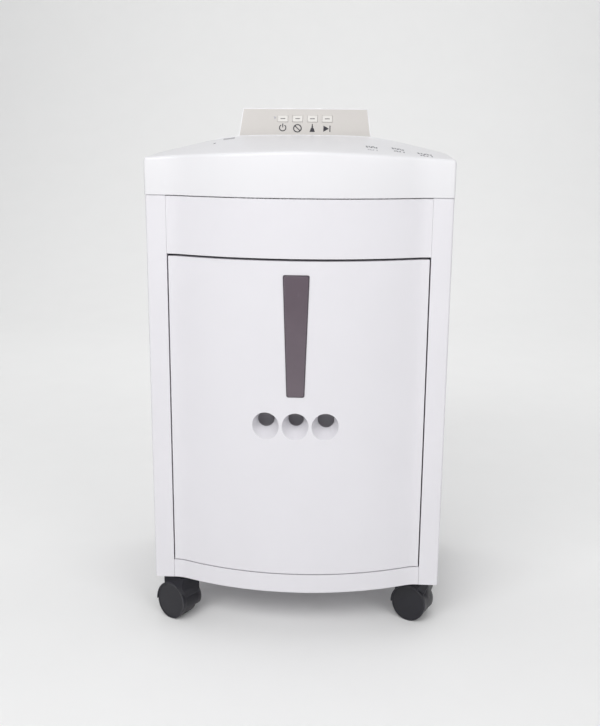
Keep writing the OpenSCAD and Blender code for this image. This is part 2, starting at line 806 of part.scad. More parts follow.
function gear_points(teeth, m, addendum) =
    let (rp = m * teeth / 2, rb = rp * cos(pressure), ra = rp + addendum * m, rf = rp - 1.2 * m,
        psi = 90 / teeth - gear_play / 2 / rp * 180 / PI + involute_angle(pressure), steps = 4)
    [for (t = [0:teeth - 1]) let (c = t * 360 / teeth)
        each concat(
            [for (k = [0:steps]) let (r = rf + (ra - rf) * k / steps,
                h = psi - involute_angle(acos(min(1, rb / max(r, rb)))))
                [r * cos(c - h), r * sin(c - h)]],
            [for (k = [steps:-1:0]) let (r = rf + (ra - rf) * k / steps,
                h = psi - involute_angle(acos(min(1, rb / max(r, rb)))))
                [r * cos(c + h), r * sin(c + h)]])];

module gear(axis, teeth, m, addendum, turn, x0, x1) {
    translate([x0, axis[0], axis[1]]) rotate([90, 0, 90]) rotate([0, 0, turn])
        linear_extrude(x1 - x0) polygon(gear_points(teeth, m, addendum));
}

function gap_turn(a, teeth) = a + 180 + 180 / teeth;

module front_sync_gear() {
    color([0.62, 0.62, 0.64]) difference() {
        gear([-cutter_y, axis_z], sync_teeth, sync_m, 0.8, gap_turn(180, sync_teeth), -132, -122.5);
        x_rod(-cutter_y, axis_z, journal_r, -140, -120);
    }
}

module rear_sync_gear() {
    color([0.62, 0.62, 0.64]) difference() {
        gear([cutter_y, axis_z], sync_teeth, sync_m, 0.8, 180, -132, -122.5);
        x_rod(cutter_y, axis_z, journal_r, -140, -120);
    }
}

module rear_drive_gear() {
    color([0.62, 0.62, 0.64]) difference() {
        union() {
            gear(rear_axis, drive_teeth, drive_m, 0.8, drive_a, 141, 151);
            x_rod(cutter_y, axis_z, 14, 135, 141 + eps);
        }
        x_rod(cutter_y, axis_z, journal_r, 130, 155);
    }
}

module second_gear() {
    color([0.62, 0.62, 0.64]) difference() {
        union() {
            gear(second_axis, second_large_teeth, second_m, 0.8, second_a, 131, 139);
            gear(second_axis, second_small_teeth, drive_m, 0.8,
                gap_turn(drive_a, second_small_teeth), 139 - eps, 151);
            x_rod(second_axis[0], second_axis[1], 8, 121, 131 + eps);
        }
        x_rod(second_axis[0], second_axis[1], pin_r + fit_gap, 115, 160);
    }
}

module first_gear() {
    color([0.85, 0.83, 0.75]) difference() {
        union() {
            gear(first_axis, first_large_teeth, first_m, 0.6, first_a, 123, 129);
            gear(first_axis, first_small_teeth, second_m, 0.8,
                gap_turn(second_a, first_small_teeth), 129 - eps, 139);
            x_rod(first_axis[0], first_axis[1], 7, 121, 123 + eps);
            x_rod(first_axis[0], first_axis[1], 6.5, 139 - eps, 153);
        }
        x_rod(first_axis[0], first_axis[1], pin_r + fit_gap, 115, 160);
    }
}

// ---- motor and electrics ----

shaft_r = 3;

module motor_can() {
    y = motor_axis[0];
    z = motor_axis[1];
    x1 = motor_x0 + motor_l;
    color([0.35, 0.36, 0.38]) difference() {
        union() {
            x_rod(y, z, motor_r, motor_x0, x1);
            x_rod(y, z, 8, motor_x0 - 3, motor_x0 + eps);
            x_rod(y, z, 24, x1 - eps, plate_x0);
        }
        x_rod(y, z, motor_r - 2.5, motor_x0 + 3, x1 - 3);
        x_rod(y, z, shaft_r + fit_gap, motor_x0 - 5, plate_x0 + 1);
        for (k = [0:5]) translate([motor_x0, y, z]) rotate([k * 60, 0, 0])
            translate([0, 0, 20]) rotate([0, 90, 0]) translate([0, 0, -1]) cylinder(r = 4, h = 5);
        for (s = [-1, 1]) x_rod(y + s * 17, z, screw_r, plate_x0 - 10, plate_x0 + 1);
    }
}

module motor_rotor() {
    y = motor_axis[0];
    z = motor_axis[1];
    x1 = motor_x0 + motor_l;
    color([0.6, 0.58, 0.55]) {
        x_rod(y, z, shaft_r, motor_x0 - 6, 130);
        x_rod(y, z, 20, motor_x0 + 30, x1 - 20);
        x_rod(y, z, 10, motor_x0 + 16, motor_x0 + 30 + eps);
        for (k = [0:5]) translate([0, y, z]) rotate([k * 60, 0, 0])
            box(motor_x0 + 6, motor_x0 + 14, -1, 1, 2.5, 25);
        gear(motor_axis, pinion_teeth, first_m, 0.8, gap_turn(first_a, pinion_teeth), 122.5, 129.5);
    }
}

module control_board() {
    x = -172;
    y0 = -62;
    z0 = deck_z1 + 8;
    color([0.14, 0.42, 0.24]) {
        box(x, x + 1.6, y0, y0 + 130, z0, z0 + 58);
        for (y = [y0 + 6, y0 + 124], z = [z0 + 6, z0 + 52]) x_rod(y, z, 3, -wall_x + 2.6, x + eps);
        box(x + 1.6 - eps, x + 24, y0 + 8, y0 + 42, z0 + 12, z0 + 46);
        box(x + 1.6 - eps, x + 16, y0 + 50, y0 + 69, z0 + 30, z0 + 52);
        box(x + 1.6 - eps, x + 16, y0 + 73, y0 + 92, z0 + 30, z0 + 52);
        x_rod(y0 + 60, z0 + 15, 8, x + 1.6 - eps, x + 26);
        box(x + 1.6 - eps, x + 8, y0 + 96, y0 + 124, z0 + 8, z0 + 26);
    }
}

module power_inlet() {
    y1 = rear_y + 1.9;
    yp = rear_y - 2.5;
    color([0.12, 0.12, 0.13]) {
        difference() {
            union() {
                box(inlet_x - 24, inlet_x + 24, yp, y1, inlet_z - 12.5, inlet_z + 12.5);
                box(inlet_x - 13.8, inlet_x + 13.8, yp - 20, yp + eps, inlet_z - 9.8, inlet_z + 9.8);
            }
            box(inlet_x - 11.8, inlet_x + 11.8, yp - 14, y1 + 1, inlet_z - 7.6, inlet_z + 7.6);
            for (s = [-1, 1]) y_rod(inlet_x + s * 20, inlet_z, 1.7, yp - 1, y1 + 1);
        }
        for (p = [[-7, -1.5], [0, 2], [7, -1.5]]) translate([inlet_x + p[0], 0, inlet_z + p[1]])
            box(-1, 1, yp - 15, yp - 1, -2, 2);
    }
}

module paper_sensor() {
    z = guide_foot_z + 36;
    color([0.1, 0.1, 0.12]) for (s = [-1, 1]) mirror([0, s < 0 ? 1 : 0, 0])
        box(-7, 7, slot_gap / 2 + 2.1, slot_gap / 2 + 13, z - 6, z + 6);
}

module drawer_switch() {
    color([0.1, 0.1, 0.12]) {
        box(92, 116, flange_y + 33, flange_y + 43, deck_z0 - 7, deck_z0);
        box(96, 112, flange_y + 30.5, flange_y + 45.5, deck_z0 - 2, deck_z0);
    }
}

module chassis_screws() {
    color([0.75, 0.75, 0.77]) {
        for (p = plate_screws) translate([p[0], p[1], deck_z1 + 3 - 7]) pan_screw(7);
        for (p = spacers) translate([outer_x0 + outer_t - 11, p[0], p[1]]) rotate([0, 90, 0]) pan_screw(11);
        for (s = [-1, 1]) translate([plate_x1 - 10, motor_axis[0] + s * 17, motor_axis[1]])
            rotate([0, 90, 0]) pan_screw(10);
    }
}

// ---- drawer ----

window_z0 = z_base + window_z;

function window_points(grow) =
    let (a = window_bottom_w / 2 + grow, b = window_top_w / 2 + grow, r = 2.2 + grow * 0.5,
        z0 = window_z0 - grow, z1 = window_z0 + window_h + grow)
    concat(arc_points(-a + r, z0 + r, r, 184, 270), arc_points(a - r, z0 + r, r, 270, 356),
        arc_points(b - r, z1 - r, r, -4, 90), arc_points(-b + r, z1 - r, r, 90, 184));

module window_prism(grow, y0, y1) {
    upright(y0, y1) polygon(window_points(grow));
}

// Funnel along the cup's axis, grown by extra and run past its mouth and its back
module cup_cone(x, extra, before, beyond) {
    depth = cup_depth / cos(cup_tilt);
    slope = (cup_d - cup_hole_d) / 2 / depth;
    translate([x, bow_line(x, 0), cup_mid_z]) rotate([-90 + cup_tilt, 0, 0])
        translate([0, 0, -before]) cylinder(
            r1 = cup_d / 2 + slope * before + extra,
            r2 = cup_hole_d / 2 - slope * beyond + extra, h = depth + before + beyond);
}

module drawer_front() {
    half = drawer_half;
    y_back = flange_y + return_d;
    color([0.9, 0.9, 0.92]) difference() {
        union() {
            translate([0, 0, drawer_z0]) linear_extrude(drawer_h) bow_band(0, drawer_t, half);
            for (z = [drawer_z0, drawer_z1 - 2.5]) translate([0, 0, z]) linear_extrude(2.5)
                bow_region(drawer_t - eps, half, z < z_base + 100 ? bin_y0 - 0.5 : y_back);
            for (s = [-1, 1]) translate([s * (half - 1.25), 0, 0])
                box(-1.25, 1.25, flange_y + drawer_t - eps, y_back, drawer_z0, drawer_z1);
            for (x = boss_xs, z = boss_zs) y_rod(x, z, boss_r, bow_line(x, drawer_t - 0.5), bin_y0);
            intersection() {
                union() {
                    for (x = cup_w) cup_cone(x, 2.5, 6, 1);
                }
                translate([0, 0, cup_mid_z - 40]) linear_extrude(80) bow_region(0.4, 80, web_y + 1);
            }
            box(-web_half, web_half, web_y - 0.5, web_y + 2, web_z0, web_z1);
        }
        for (x = cup_w) cup_cone(x, 0, 6, 7);
        window_prism(0, flange_y - 60, flange_y - 10);
        for (x = boss_xs, z = boss_zs) y_rod(x, z, screw_r, bin_y0 - 14, bin_y0 + 1);
    }
}

module drawer_window() {
    flange_gap = 0.2;
    color([0.43, 0.4, 0.43]) {
        intersection() {
            translate([0, 0, window_z0 - 10]) linear_extrude(window_h + 20)
                bow_band(-0.6, drawer_t + flange_gap + 0.5, 40);
            window_prism(0, flange_y - 60, flange_y - 10);
        }
        intersection() {
            translate([0, 0, window_z0 - 10]) linear_extrude(window_h + 20) bow_band(-1.3, 0, 40);
            window_prism(-1.4, flange_y - 60, flange_y - 10);
        }
        intersection() {
            translate([0, 0, window_z0 - 10]) linear_extrude(window_h + 20)
                bow_band(drawer_t + flange_gap, drawer_t + flange_gap + 1.6, 40);
            window_prism(5, flange_y - 60, flange_y - 10);
        }
    }
}

module handle_pocket() {
    y0 = web_y + 2;
    y1 = y0 + pocket_depth;
    t = 2;
    color([0.55, 0.55, 0.57]) difference() {
        box(-web_half, web_half, y0, y1, web_z0, web_z1);
        box(-web_half + t, web_half - t, y0 - 1, y1 - t, web_z0 + t, web_z1 - t);
    }
}

module waste_bin() {
    r = 12;
    color([0.3, 0.31, 0.33]) difference() {
        union() {
            translate([0, 0, bin_z0]) linear_extrude(bin_h)
                polygon(rounded_rect(-bin_half, bin_y0, bin_half, bin_y1, r));
            translate([0, 0, bin_z1 - 3]) linear_extrude(3)
                polygon(rounded_rect(-bin_half - 5, bin_y0, bin_half + 5, bin_y1 + 5, r));
            for (s = [-1, 1]) translate([s * (bin_half + lip_w / 2 - 1), 0, 0])
                box(-lip_w / 2 - 1, lip_w / 2, bin_y0 + 12, bin_y1 - 12, lip_z, lip_z + lip_t);
        }
        translate([0, 0, bin_z0 + bin_t]) linear_extrude(bin_h)
            polygon(rounded_rect(-bin_half + bin_t, bin_y0 + bin_t, bin_half - bin_t, bin_y1 - bin_t,
                r - bin_t));
        for (x = boss_xs, z = boss_zs) y_rod(x, z, screw_r, bin_y0 - 1, bin_y0 + bin_t + 1);
    }
}

module drawer_screws() {
    color([0.75, 0.75, 0.77]) for (x = boss_xs, z = boss_zs)
        translate([x, bin_y0 + bin_t - 12, z]) rotate([-90, 0, 0]) pan_screw(12);
}

module switch_magnet() {
    color([0.3, 0.3, 0.32]) box(98, 110, bin_y0 + bin_t + 0.2, bin_y0 + bin_t + 9, bin_z1 - 8, bin_z1 + 8);
}

// ---- casters ----

// Local frame: swivel axis on z, wheel face towards -y, wheel offset towards +x
module wheel_frame() {
    translate([trail, -stem_s, hub_z]) rotate([-camber, 0, 0]) rotate([-90, 0, 0]) children();
}

caster_places = [
    [-caster_x, caster_ys[0], -35, 0], [caster_x, caster_ys[0], -29.5, 1],
    [-caster_x, caster_ys[1], 29.5, 0], [caster_x, caster_ys[1], 35, 1]];

module placed(k) {
    p = caster_places[k];
    translate([p[0], p[1], 0]) rotate([0, 0, p[2]]) mirror([p[3], 0, 0]) children();
}

hood_r = 26.1;
hood_len = 48;
hood_t = 1.3;
hood_cut_z = 21.3;
hood_cut_fall = 8.5;
hood_foot_z = 34;
hood_shoulder_y = 20;

// Radius against depth behind the wheel face, less a wall thickness
module hood_profile(t) {
    front = t > 0 ? -3 : -0.6;
    polygon([
        [0, front], [hood_r - t, front], [hood_r - t, 3.2], [25.4 - t, 5.5], [25 - t, 12],
        [24.2 - t, 22], [23.1 - t, 30], [21 - t, 37], [18 - t, 42], [13.6 - t, hood_len - 2.4 - t],
        [8 - t, hood_len - 0.6 - t], [0, hood_len - t]]);
}

module hood_inside() {
    wheel_frame() rotate_extrude() hood_profile(hood_t);
    translate([0, 0, stem_z0]) cylinder(r = stem_r, h = neck_z + 1 - stem_z0);
}

// Side view and front view of the shoulder between the hood and the swivel
module hood_shoulder() {
    x1 = trail + hood_r - 3;
    y1 = hood_shoulder_y;
    intersection() {
        translate([0, 0, hood_foot_z]) linear_extrude(neck_z - hood_foot_z)
            polygon(rounded_rect(-8, -16, x1, y1, 6));
        upright(-30, 40) polygon([
            [-2, hood_foot_z], [-8, neck_z - 5], [-8, neck_z], [x1 - 3, neck_z], [x1, neck_z - 6],
            [x1, hood_foot_z]]);
        sideways(-20, 60) polygon([
            [-16, hood_foot_z], [-16, 46], [-12.5, 52.5], [-8, neck_z], [y1 - 4, neck_z],
            [y1, neck_z - 7], [y1, hood_foot_z]]);
    }
}

module caster_hood() {
    color([0.22, 0.22, 0.25]) difference() {
        union() {
            difference() {
                wheel_frame() rotate_extrude() hood_profile(0);
                translate([0, -stem_s, hood_cut_z]) rotate([-hood_cut_fall, 0, 0])
                    box(-60, 120, -60, 100, -60, 0);
            }
            hood_shoulder();
            translate([0, 0, 30]) cylinder(r = 7.5, h = neck_z - 30);
        }
        hood_inside();
    }
}

axle_end = 41;

module caster_hood_part() {
    caster_hood();
    // Inner boss that carries the axle
    color([0.22, 0.22, 0.25]) wheel_frame() difference() {
        translate([0, 0, 32]) cylinder(r = 8, h = hood_len - 32 - 1);
        translate([0, 0, 20]) cylinder(r = axle_r, h = axle_end - 20);
    }
}

module caster_pins() {
    color([0.75, 0.75, 0.77]) {
        translate([0, 0, stem_z0]) cylinder(r = stem_r, h = z_base + 20 - stem_z0);
        wheel_frame() translate([0, 0, 5]) cylinder(r = axle_r, h = axle_end - 5);
    }
}

module caster_wheel() {
    color([0.17, 0.17, 0.19]) wheel_frame() rotate_extrude() polygon([
        [0, 1.2], [20, 1.2], [21.5, 0], [23.7, 0], [wheel_r, 0.8], [wheel_r, 2.6], [23.8, 4.5],
        [23.5, 8], [23.2, 12], [22.6, 18], [21.9, 25], [21.2, 29], [14, 29], [14, 12], [8, 12], [8, 30],
        [axle_r + fit_gap, 30], [axle_r + fit_gap, 4.5], [0, 4.5]]);
}

module caster_hood_fl() {
    placed(0) caster_hood_part();
}

module caster_hood_fr() {
    placed(1) caster_hood_part();
}

module caster_hood_rl() {
    placed(2) caster_hood_part();
}

module caster_hood_rr() {
    placed(3) caster_hood_part();
}

module caster_pins_fl() {
    placed(0) caster_pins();
}

module caster_pins_fr() {
    placed(1) caster_pins();
}

module caster_pins_rl() {
    placed(2) caster_pins();
}

module caster_pins_rr() {
    placed(3) caster_pins();
}

module caster_wheel_fl() {
    placed(0) caster_wheel();
}

module caster_wheel_fr() {
    placed(1) caster_wheel();
}

module caster_wheel_rl() {
    placed(2) caster_wheel();
}

module caster_wheel_rr() {
    placed(3) caster_wheel();
}

left_side_panel();
right_side_panel();
rear_panel();
base_panel();
bottom_rail();
front_fascia();
deck_plate();
top_cover();
throat_guide();
console_housing();
console_overlay();
cutter_plate_left();
cutter_plate_right();
gear_outer_plate();
tie_rods();
gear_pins();
cutter_bushes();
stripper_combs();
motor_can();
control_board();
key_board();
power_inlet();
paper_sensor();
drawer_switch();
bin_guides();
caster_sockets();
cabinet_screws();
chassis_screws();
drawer_front();
drawer_window();
handle_pocket();
waste_bin();
drawer_screws();
switch_magnet();
front_cutter();
rear_cutter();
front_sync_gear();
rear_sync_gear();
rear_drive_gear();
second_gear();
first_gear();
motor_rotor();
power_key();
cancel_key();
clean_key();
forward_key();
caster_hood_fl();
caster_hood_fr();
caster_hood_rl();
caster_hood_rr();
caster_pins_fl();
caster_pins_fr();
caster_pins_rl();
caster_pins_rr();
caster_wheel_fl();
caster_wheel_fr();
caster_wheel_rl();
caster_wheel_rr();
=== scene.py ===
import json
import math
import bpy
from mathutils import Matrix, Vector

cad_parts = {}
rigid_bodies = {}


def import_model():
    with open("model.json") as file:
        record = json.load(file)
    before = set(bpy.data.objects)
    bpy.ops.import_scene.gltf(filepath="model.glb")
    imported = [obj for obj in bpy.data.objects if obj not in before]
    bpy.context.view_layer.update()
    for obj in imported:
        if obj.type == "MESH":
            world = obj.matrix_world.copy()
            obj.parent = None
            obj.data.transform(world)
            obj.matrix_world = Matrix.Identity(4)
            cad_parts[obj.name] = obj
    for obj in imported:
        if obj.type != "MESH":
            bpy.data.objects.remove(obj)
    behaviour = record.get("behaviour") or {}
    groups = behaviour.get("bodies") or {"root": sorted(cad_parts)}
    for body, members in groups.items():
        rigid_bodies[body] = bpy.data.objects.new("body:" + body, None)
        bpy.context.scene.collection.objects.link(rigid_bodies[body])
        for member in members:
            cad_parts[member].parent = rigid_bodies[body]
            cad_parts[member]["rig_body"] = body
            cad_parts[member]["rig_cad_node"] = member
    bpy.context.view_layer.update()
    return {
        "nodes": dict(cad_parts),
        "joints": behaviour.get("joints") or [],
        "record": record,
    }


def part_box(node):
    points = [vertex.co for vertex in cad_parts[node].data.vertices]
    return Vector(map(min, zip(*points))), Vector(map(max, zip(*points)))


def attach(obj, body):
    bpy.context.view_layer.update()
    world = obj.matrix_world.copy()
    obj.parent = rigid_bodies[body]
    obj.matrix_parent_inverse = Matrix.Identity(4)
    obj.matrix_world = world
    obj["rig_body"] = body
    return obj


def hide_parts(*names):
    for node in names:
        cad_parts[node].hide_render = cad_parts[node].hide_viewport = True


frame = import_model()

# Office paper shredder on casters: finishes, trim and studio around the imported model. Metres, Z up;
# the pieces' dictionaries give millimetres and degrees.
nodes = frame["nodes"]
slotOf = {part["node"]: part["material_slot"] for part in frame["record"]["subparts"]}
jointOf = {joint["name"]: joint for joint in frame["joints"]}
bodyOf = {name: thing["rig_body"] for name, thing in nodes.items()}
mm = 0.001
# points closer than this are one point
touching = 1e-6
corners = ("fl", "fr", "rl", "rr")
keyNodes = ("power_key", "cancel_key", "clean_key", "forward_key")
print("frame loaded:", len(nodes), "nodes")


# small helpers

def clearPick():
    bpy.ops.object.select_all(action="DESELECT")


def pick(piece):
    clearPick()
    piece.select_set(True)
    bpy.context.view_layer.objects.active = piece


def fresh(name):
    piece = bpy.context.object
    piece.name = name
    piece.data.name = name
    return piece


def chooseNothing(piece, kind):
    pick(piece)
    bpy.ops.object.mode_set(mode="EDIT")
    bpy.ops.mesh.select_mode(type=kind)
    bpy.ops.mesh.select_all(action="DESELECT")
    bpy.ops.object.mode_set(mode="OBJECT")


def chooseFaces(piece, wanted):
    # leaves edit mode open with just the wanted faces selected
    chooseNothing(piece, "FACE")
    for face in piece.data.polygons:
        face.select = bool(wanted(face.center, face.normal))
    bpy.ops.object.mode_set(mode="EDIT")


def chooseEdges(piece, wanted):
    # the same for edges; wanted gets the two end points of each
    chooseNothing(piece, "EDGE")
    points = piece.data.vertices
    for edge in piece.data.edges:
        edge.select = bool(wanted(points[edge.vertices[0]].co, points[edge.vertices[1]].co))
    bpy.ops.object.mode_set(mode="EDIT")


def leaveEdit():
    bpy.ops.object.mode_set(mode="OBJECT")


def settle(piece):
    # the piece's place goes into its mesh
    pick(piece)
    bpy.ops.object.transform_apply(location=True, rotation=True, scale=True)


def moveMesh(piece, matrix):
    piece.matrix_world = matrix @ piece.matrix_world
    settle(piece)


def turnOut(piece):
    # doubles go and the normals point outwards
    pick(piece)
    bpy.ops.object.mode_set(mode="EDIT")
    bpy.ops.mesh.select_all(action="SELECT")
    bpy.ops.mesh.remove_doubles(threshold=touching)
    bpy.ops.mesh.normals_make_consistent(inside=False)
    bpy.ops.object.mode_set(mode="OBJECT")


def smooth(piece, degrees=35):
    pick(piece)
    bpy.ops.object.shade_smooth_by_angle(angle=math.radians(degrees))


def roundEdges(piece, width, segments=3, degrees=35):
    smooth(piece, degrees)
    tool = piece.modifiers.new("roundEdges", "BEVEL")
    tool.width = width
    tool.segments = segments
    tool.limit_method = "ANGLE"
    tool.angle_limit = math.radians(degrees)
    tool.harden_normals = True
    tool.use_clamp_overlap = True
    bpy.ops.object.modifier_apply(modifier=tool.name)


def thicken(piece, thick, offset=0.0):
    shell = piece.modifiers.new("thickness", "SOLIDIFY")
    shell.thickness = thick
    shell.offset = offset
    pick(piece)
    bpy.ops.object.modifier_apply(modifier=shell.name)


def remove(piece):
    pick(piece)
    bpy.ops.object.delete()


def cutAway(piece, cutter):
    tool = piece.modifiers.new("cutAway", "BOOLEAN")
    tool.operation = "DIFFERENCE"
    tool.solver = "EXACT"
    tool.object = cutter
    pick(piece)
    bpy.ops.object.modifier_apply(modifier=tool.name)
    remove(cutter)


def alongAxis(centre, axis):
    # stands a piece made along Z on the centre, pointing along the axis
    return Matrix.Translation(centre) @ axis.to_track_quat("Z", "Y").to_matrix().to_4x4()


def copyOf(piece, name):
    pick(piece)
    bpy.ops.object.duplicate(linked=False)
    return fresh(name)


def joined(pieces, name):
    clearPick()
    for piece in pieces:
        piece.select_set(True)
    bpy.context.view_layer.objects.active = pieces[0]
    bpy.ops.object.join()
    return fresh(name)


def dress(piece, finish):
    piece.data.materials.clear()
    piece.data.materials.append(finish)


def place(piece, body, finishName):
    dress(piece, finishes[finishName])
    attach(piece, body)


# shader groups: each gives masks, values or heights that change over the surface

def newGroup(name, inputs, outputs):
    tree = bpy.data.node_groups.new(name, "ShaderNodeTree")
    for label, kind, value in inputs:
        socket = tree.interface.new_socket(name=label, in_out="INPUT", socket_type=kind)
        if value is not None:
            socket.default_value = value
    for label, kind in outputs:
        tree.interface.new_socket(name=label, in_out="OUTPUT", socket_type=kind)
    return tree, tree.nodes.new("NodeGroupInput"), tree.nodes.new("NodeGroupOutput")


def mathNode(tree, kind, first, second=None, clamp=False):
    node = tree.nodes.new("ShaderNodeMath")
    node.operation = kind
    node.use_clamp = clamp
    for slot, value in ((0, first), (1, second)):
        if value is None:
            continue
        if isinstance(value, (int, float)):
            node.inputs[slot].default_value = value
        else:
            tree.links.new(value, node.inputs[slot])
    return node.outputs[0]


def noiseNode(tree, vector, scale, detail=3.0, roughness=0.55):
    node = tree.nodes.new("ShaderNodeTexNoise")
    node.inputs["Detail"].default_value = detail
    node.inputs["Roughness"].default_value = roughness
    tree.links.new(vector, node.inputs["Vector"])
    if isinstance(scale, (int, float)):
        node.inputs["Scale"].default_value = scale
    else:
        tree.links.new(scale, node.inputs["Scale"])
    return node.outputs["Fac"]


def makeGrain():
    # moulded or sprayed skin: fine pebbling with a slower wave under it
    tree, given, out = newGroup("mouldedGrain",
        [("Vector", "NodeSocketVector", None), ("Size", "NodeSocketFloat", 1200.0),
         ("Pebble", "NodeSocketFloat", 0.5)],
        [("Height", "NodeSocketFloat"), ("Value", "NodeSocketFloat")])
    fine = noiseNode(tree, given.outputs["Vector"], given.outputs["Size"], 2.0, 0.5)
    cells = tree.nodes.new("ShaderNodeTexVoronoi")
    cells.feature = "SMOOTH_F1"
    tree.links.new(given.outputs["Vector"], cells.inputs["Vector"])
    tree.links.new(mathNode(tree, "MULTIPLY", given.outputs["Size"], 0.8), cells.inputs["Scale"])
    pebble = mathNode(tree, "MULTIPLY", cells.outputs["Distance"], given.outputs["Pebble"])
    slowSize = mathNode(tree, "MULTIPLY", given.outputs["Size"], 0.12)
    slow = noiseNode(tree, given.outputs["Vector"], slowSize, 2.0)
    both = mathNode(tree, "ADD", fine, pebble)
    wave = mathNode(tree, "MULTIPLY", slow, 0.6)
    tree.links.new(mathNode(tree, "ADD", both, wave), out.inputs["Height"])
    tree.links.new(slow, out.inputs["Value"])
    return tree


def makeMottle():
    # slow drift between two near colours, as in real paint and plastic
    tree, given, out = newGroup("colourDrift",
        [("Vector", "NodeSocketVector", None), ("Size", "NodeSocketFloat", 9.0),
         ("Light", "NodeSocketColor", (0.8, 0.8, 0.8, 1)),
         ("Dark", "NodeSocketColor", (0.7, 0.7, 0.7, 1))],
        [("Color", "NodeSocketColor"), ("Mask", "NodeSocketFloat")])
    drift = noiseNode(tree, given.outputs["Vector"], given.outputs["Size"], 4.0, 0.6)
    spread = tree.nodes.new("ShaderNodeMapRange")
    spread.inputs["From Min"].default_value = 0.32
    spread.inputs["From Max"].default_value = 0.68
    tree.links.new(drift, spread.inputs["Value"])
    blend = tree.nodes.new("ShaderNodeMix")
    blend.data_type = "RGBA"
    tree.links.new(spread.outputs["Result"], blend.inputs["Factor"])
    tree.links.new(given.outputs["Light"], blend.inputs["A"])
    tree.links.new(given.outputs["Dark"], blend.inputs["B"])
    tree.links.new(blend.outputs["Result"], out.inputs["Color"])
    tree.links.new(spread.outputs["Result"], out.inputs["Mask"])
    return tree


def makeEdgeWear():
    # where the surface turns sharply, broken up by noise
    tree, given, out = newGroup("edgeWear",
        [("Vector", "NodeSocketVector", None), ("Radius", "NodeSocketFloat", 0.0012),
         ("Amount", "NodeSocketFloat", 1.0)],
        [("Mask", "NodeSocketFloat")])
    turned = tree.nodes.new("ShaderNodeBevel")
    turned.samples = 4
    tree.links.new(given.outputs["Radius"], turned.inputs["Radius"])
    plain = tree.nodes.new("ShaderNodeNewGeometry")
    dot = tree.nodes.new("ShaderNodeVectorMath")
    dot.operation = "DOT_PRODUCT"
    tree.links.new(turned.outputs["Normal"], dot.inputs[0])
    tree.links.new(plain.outputs["Normal"], dot.inputs[1])
    turning = mathNode(tree, "SUBTRACT", 1.0, dot.outputs["Value"])
    sharp = mathNode(tree, "MULTIPLY", turning, 5.0, True)
    broken = noiseNode(tree, given.outputs["Vector"], 140.0, 4.0, 0.65)
    worn = mathNode(tree, "MULTIPLY", sharp, mathNode(tree, "MULTIPLY", broken, 1.6, True))
    mask = mathNode(tree, "MULTIPLY", worn, given.outputs["Amount"], True)
    tree.links.new(mask, out.inputs["Mask"])
    return tree


def makeScuffs():
    # short fine marks, long in one direction
    tree, given, out = newGroup("fineScuffs",
        [("Vector", "NodeSocketVector", None),
         ("Stretch", "NodeSocketVector", (30.0, 400.0, 400.0)),
         ("Cover", "NodeSocketFloat", 0.62)],
        [("Mask", "NodeSocketFloat"), ("Height", "NodeSocketFloat")])
    long = tree.nodes.new("ShaderNodeVectorMath")
    long.operation = "MULTIPLY"
    tree.links.new(given.outputs["Vector"], long.inputs[0])
    tree.links.new(given.outputs["Stretch"], long.inputs[1])
    lines = noiseNode(tree, long.outputs["Vector"], 1.0, 5.0, 0.6)
    above = mathNode(tree, "GREATER_THAN", lines, given.outputs["Cover"])
    over = mathNode(tree, "SUBTRACT", lines, given.outputs["Cover"])
    soft = mathNode(tree, "MULTIPLY", over, 8.0, True)
    tree.links.new(mathNode(tree, "MULTIPLY", above, soft), out.inputs["Mask"])
    tree.links.new(lines, out.inputs["Height"])
    return tree


grainGroup = makeGrain()
mottleGroup = makeMottle()
wearGroup = makeEdgeWear()
scuffGroup = makeScuffs()


def scaled(color, by):
    return tuple(channel * by for channel in color)


# what a finish has unless its own entry says otherwise; wearRadius and depth are in metres
plainLook = dict(
    drift=0.04, driftSize=9.0, pebble=0.5, bump=0.25, depth=0.00004, metal=0.0,
    wear=0.4, wearRadius=0.0012, scuff=0.1, cover=0.66, stretch=(30.0, 400.0, 400.0), lines=0.0,
    roughSwing=0.08, scuffRough=0.06,
)


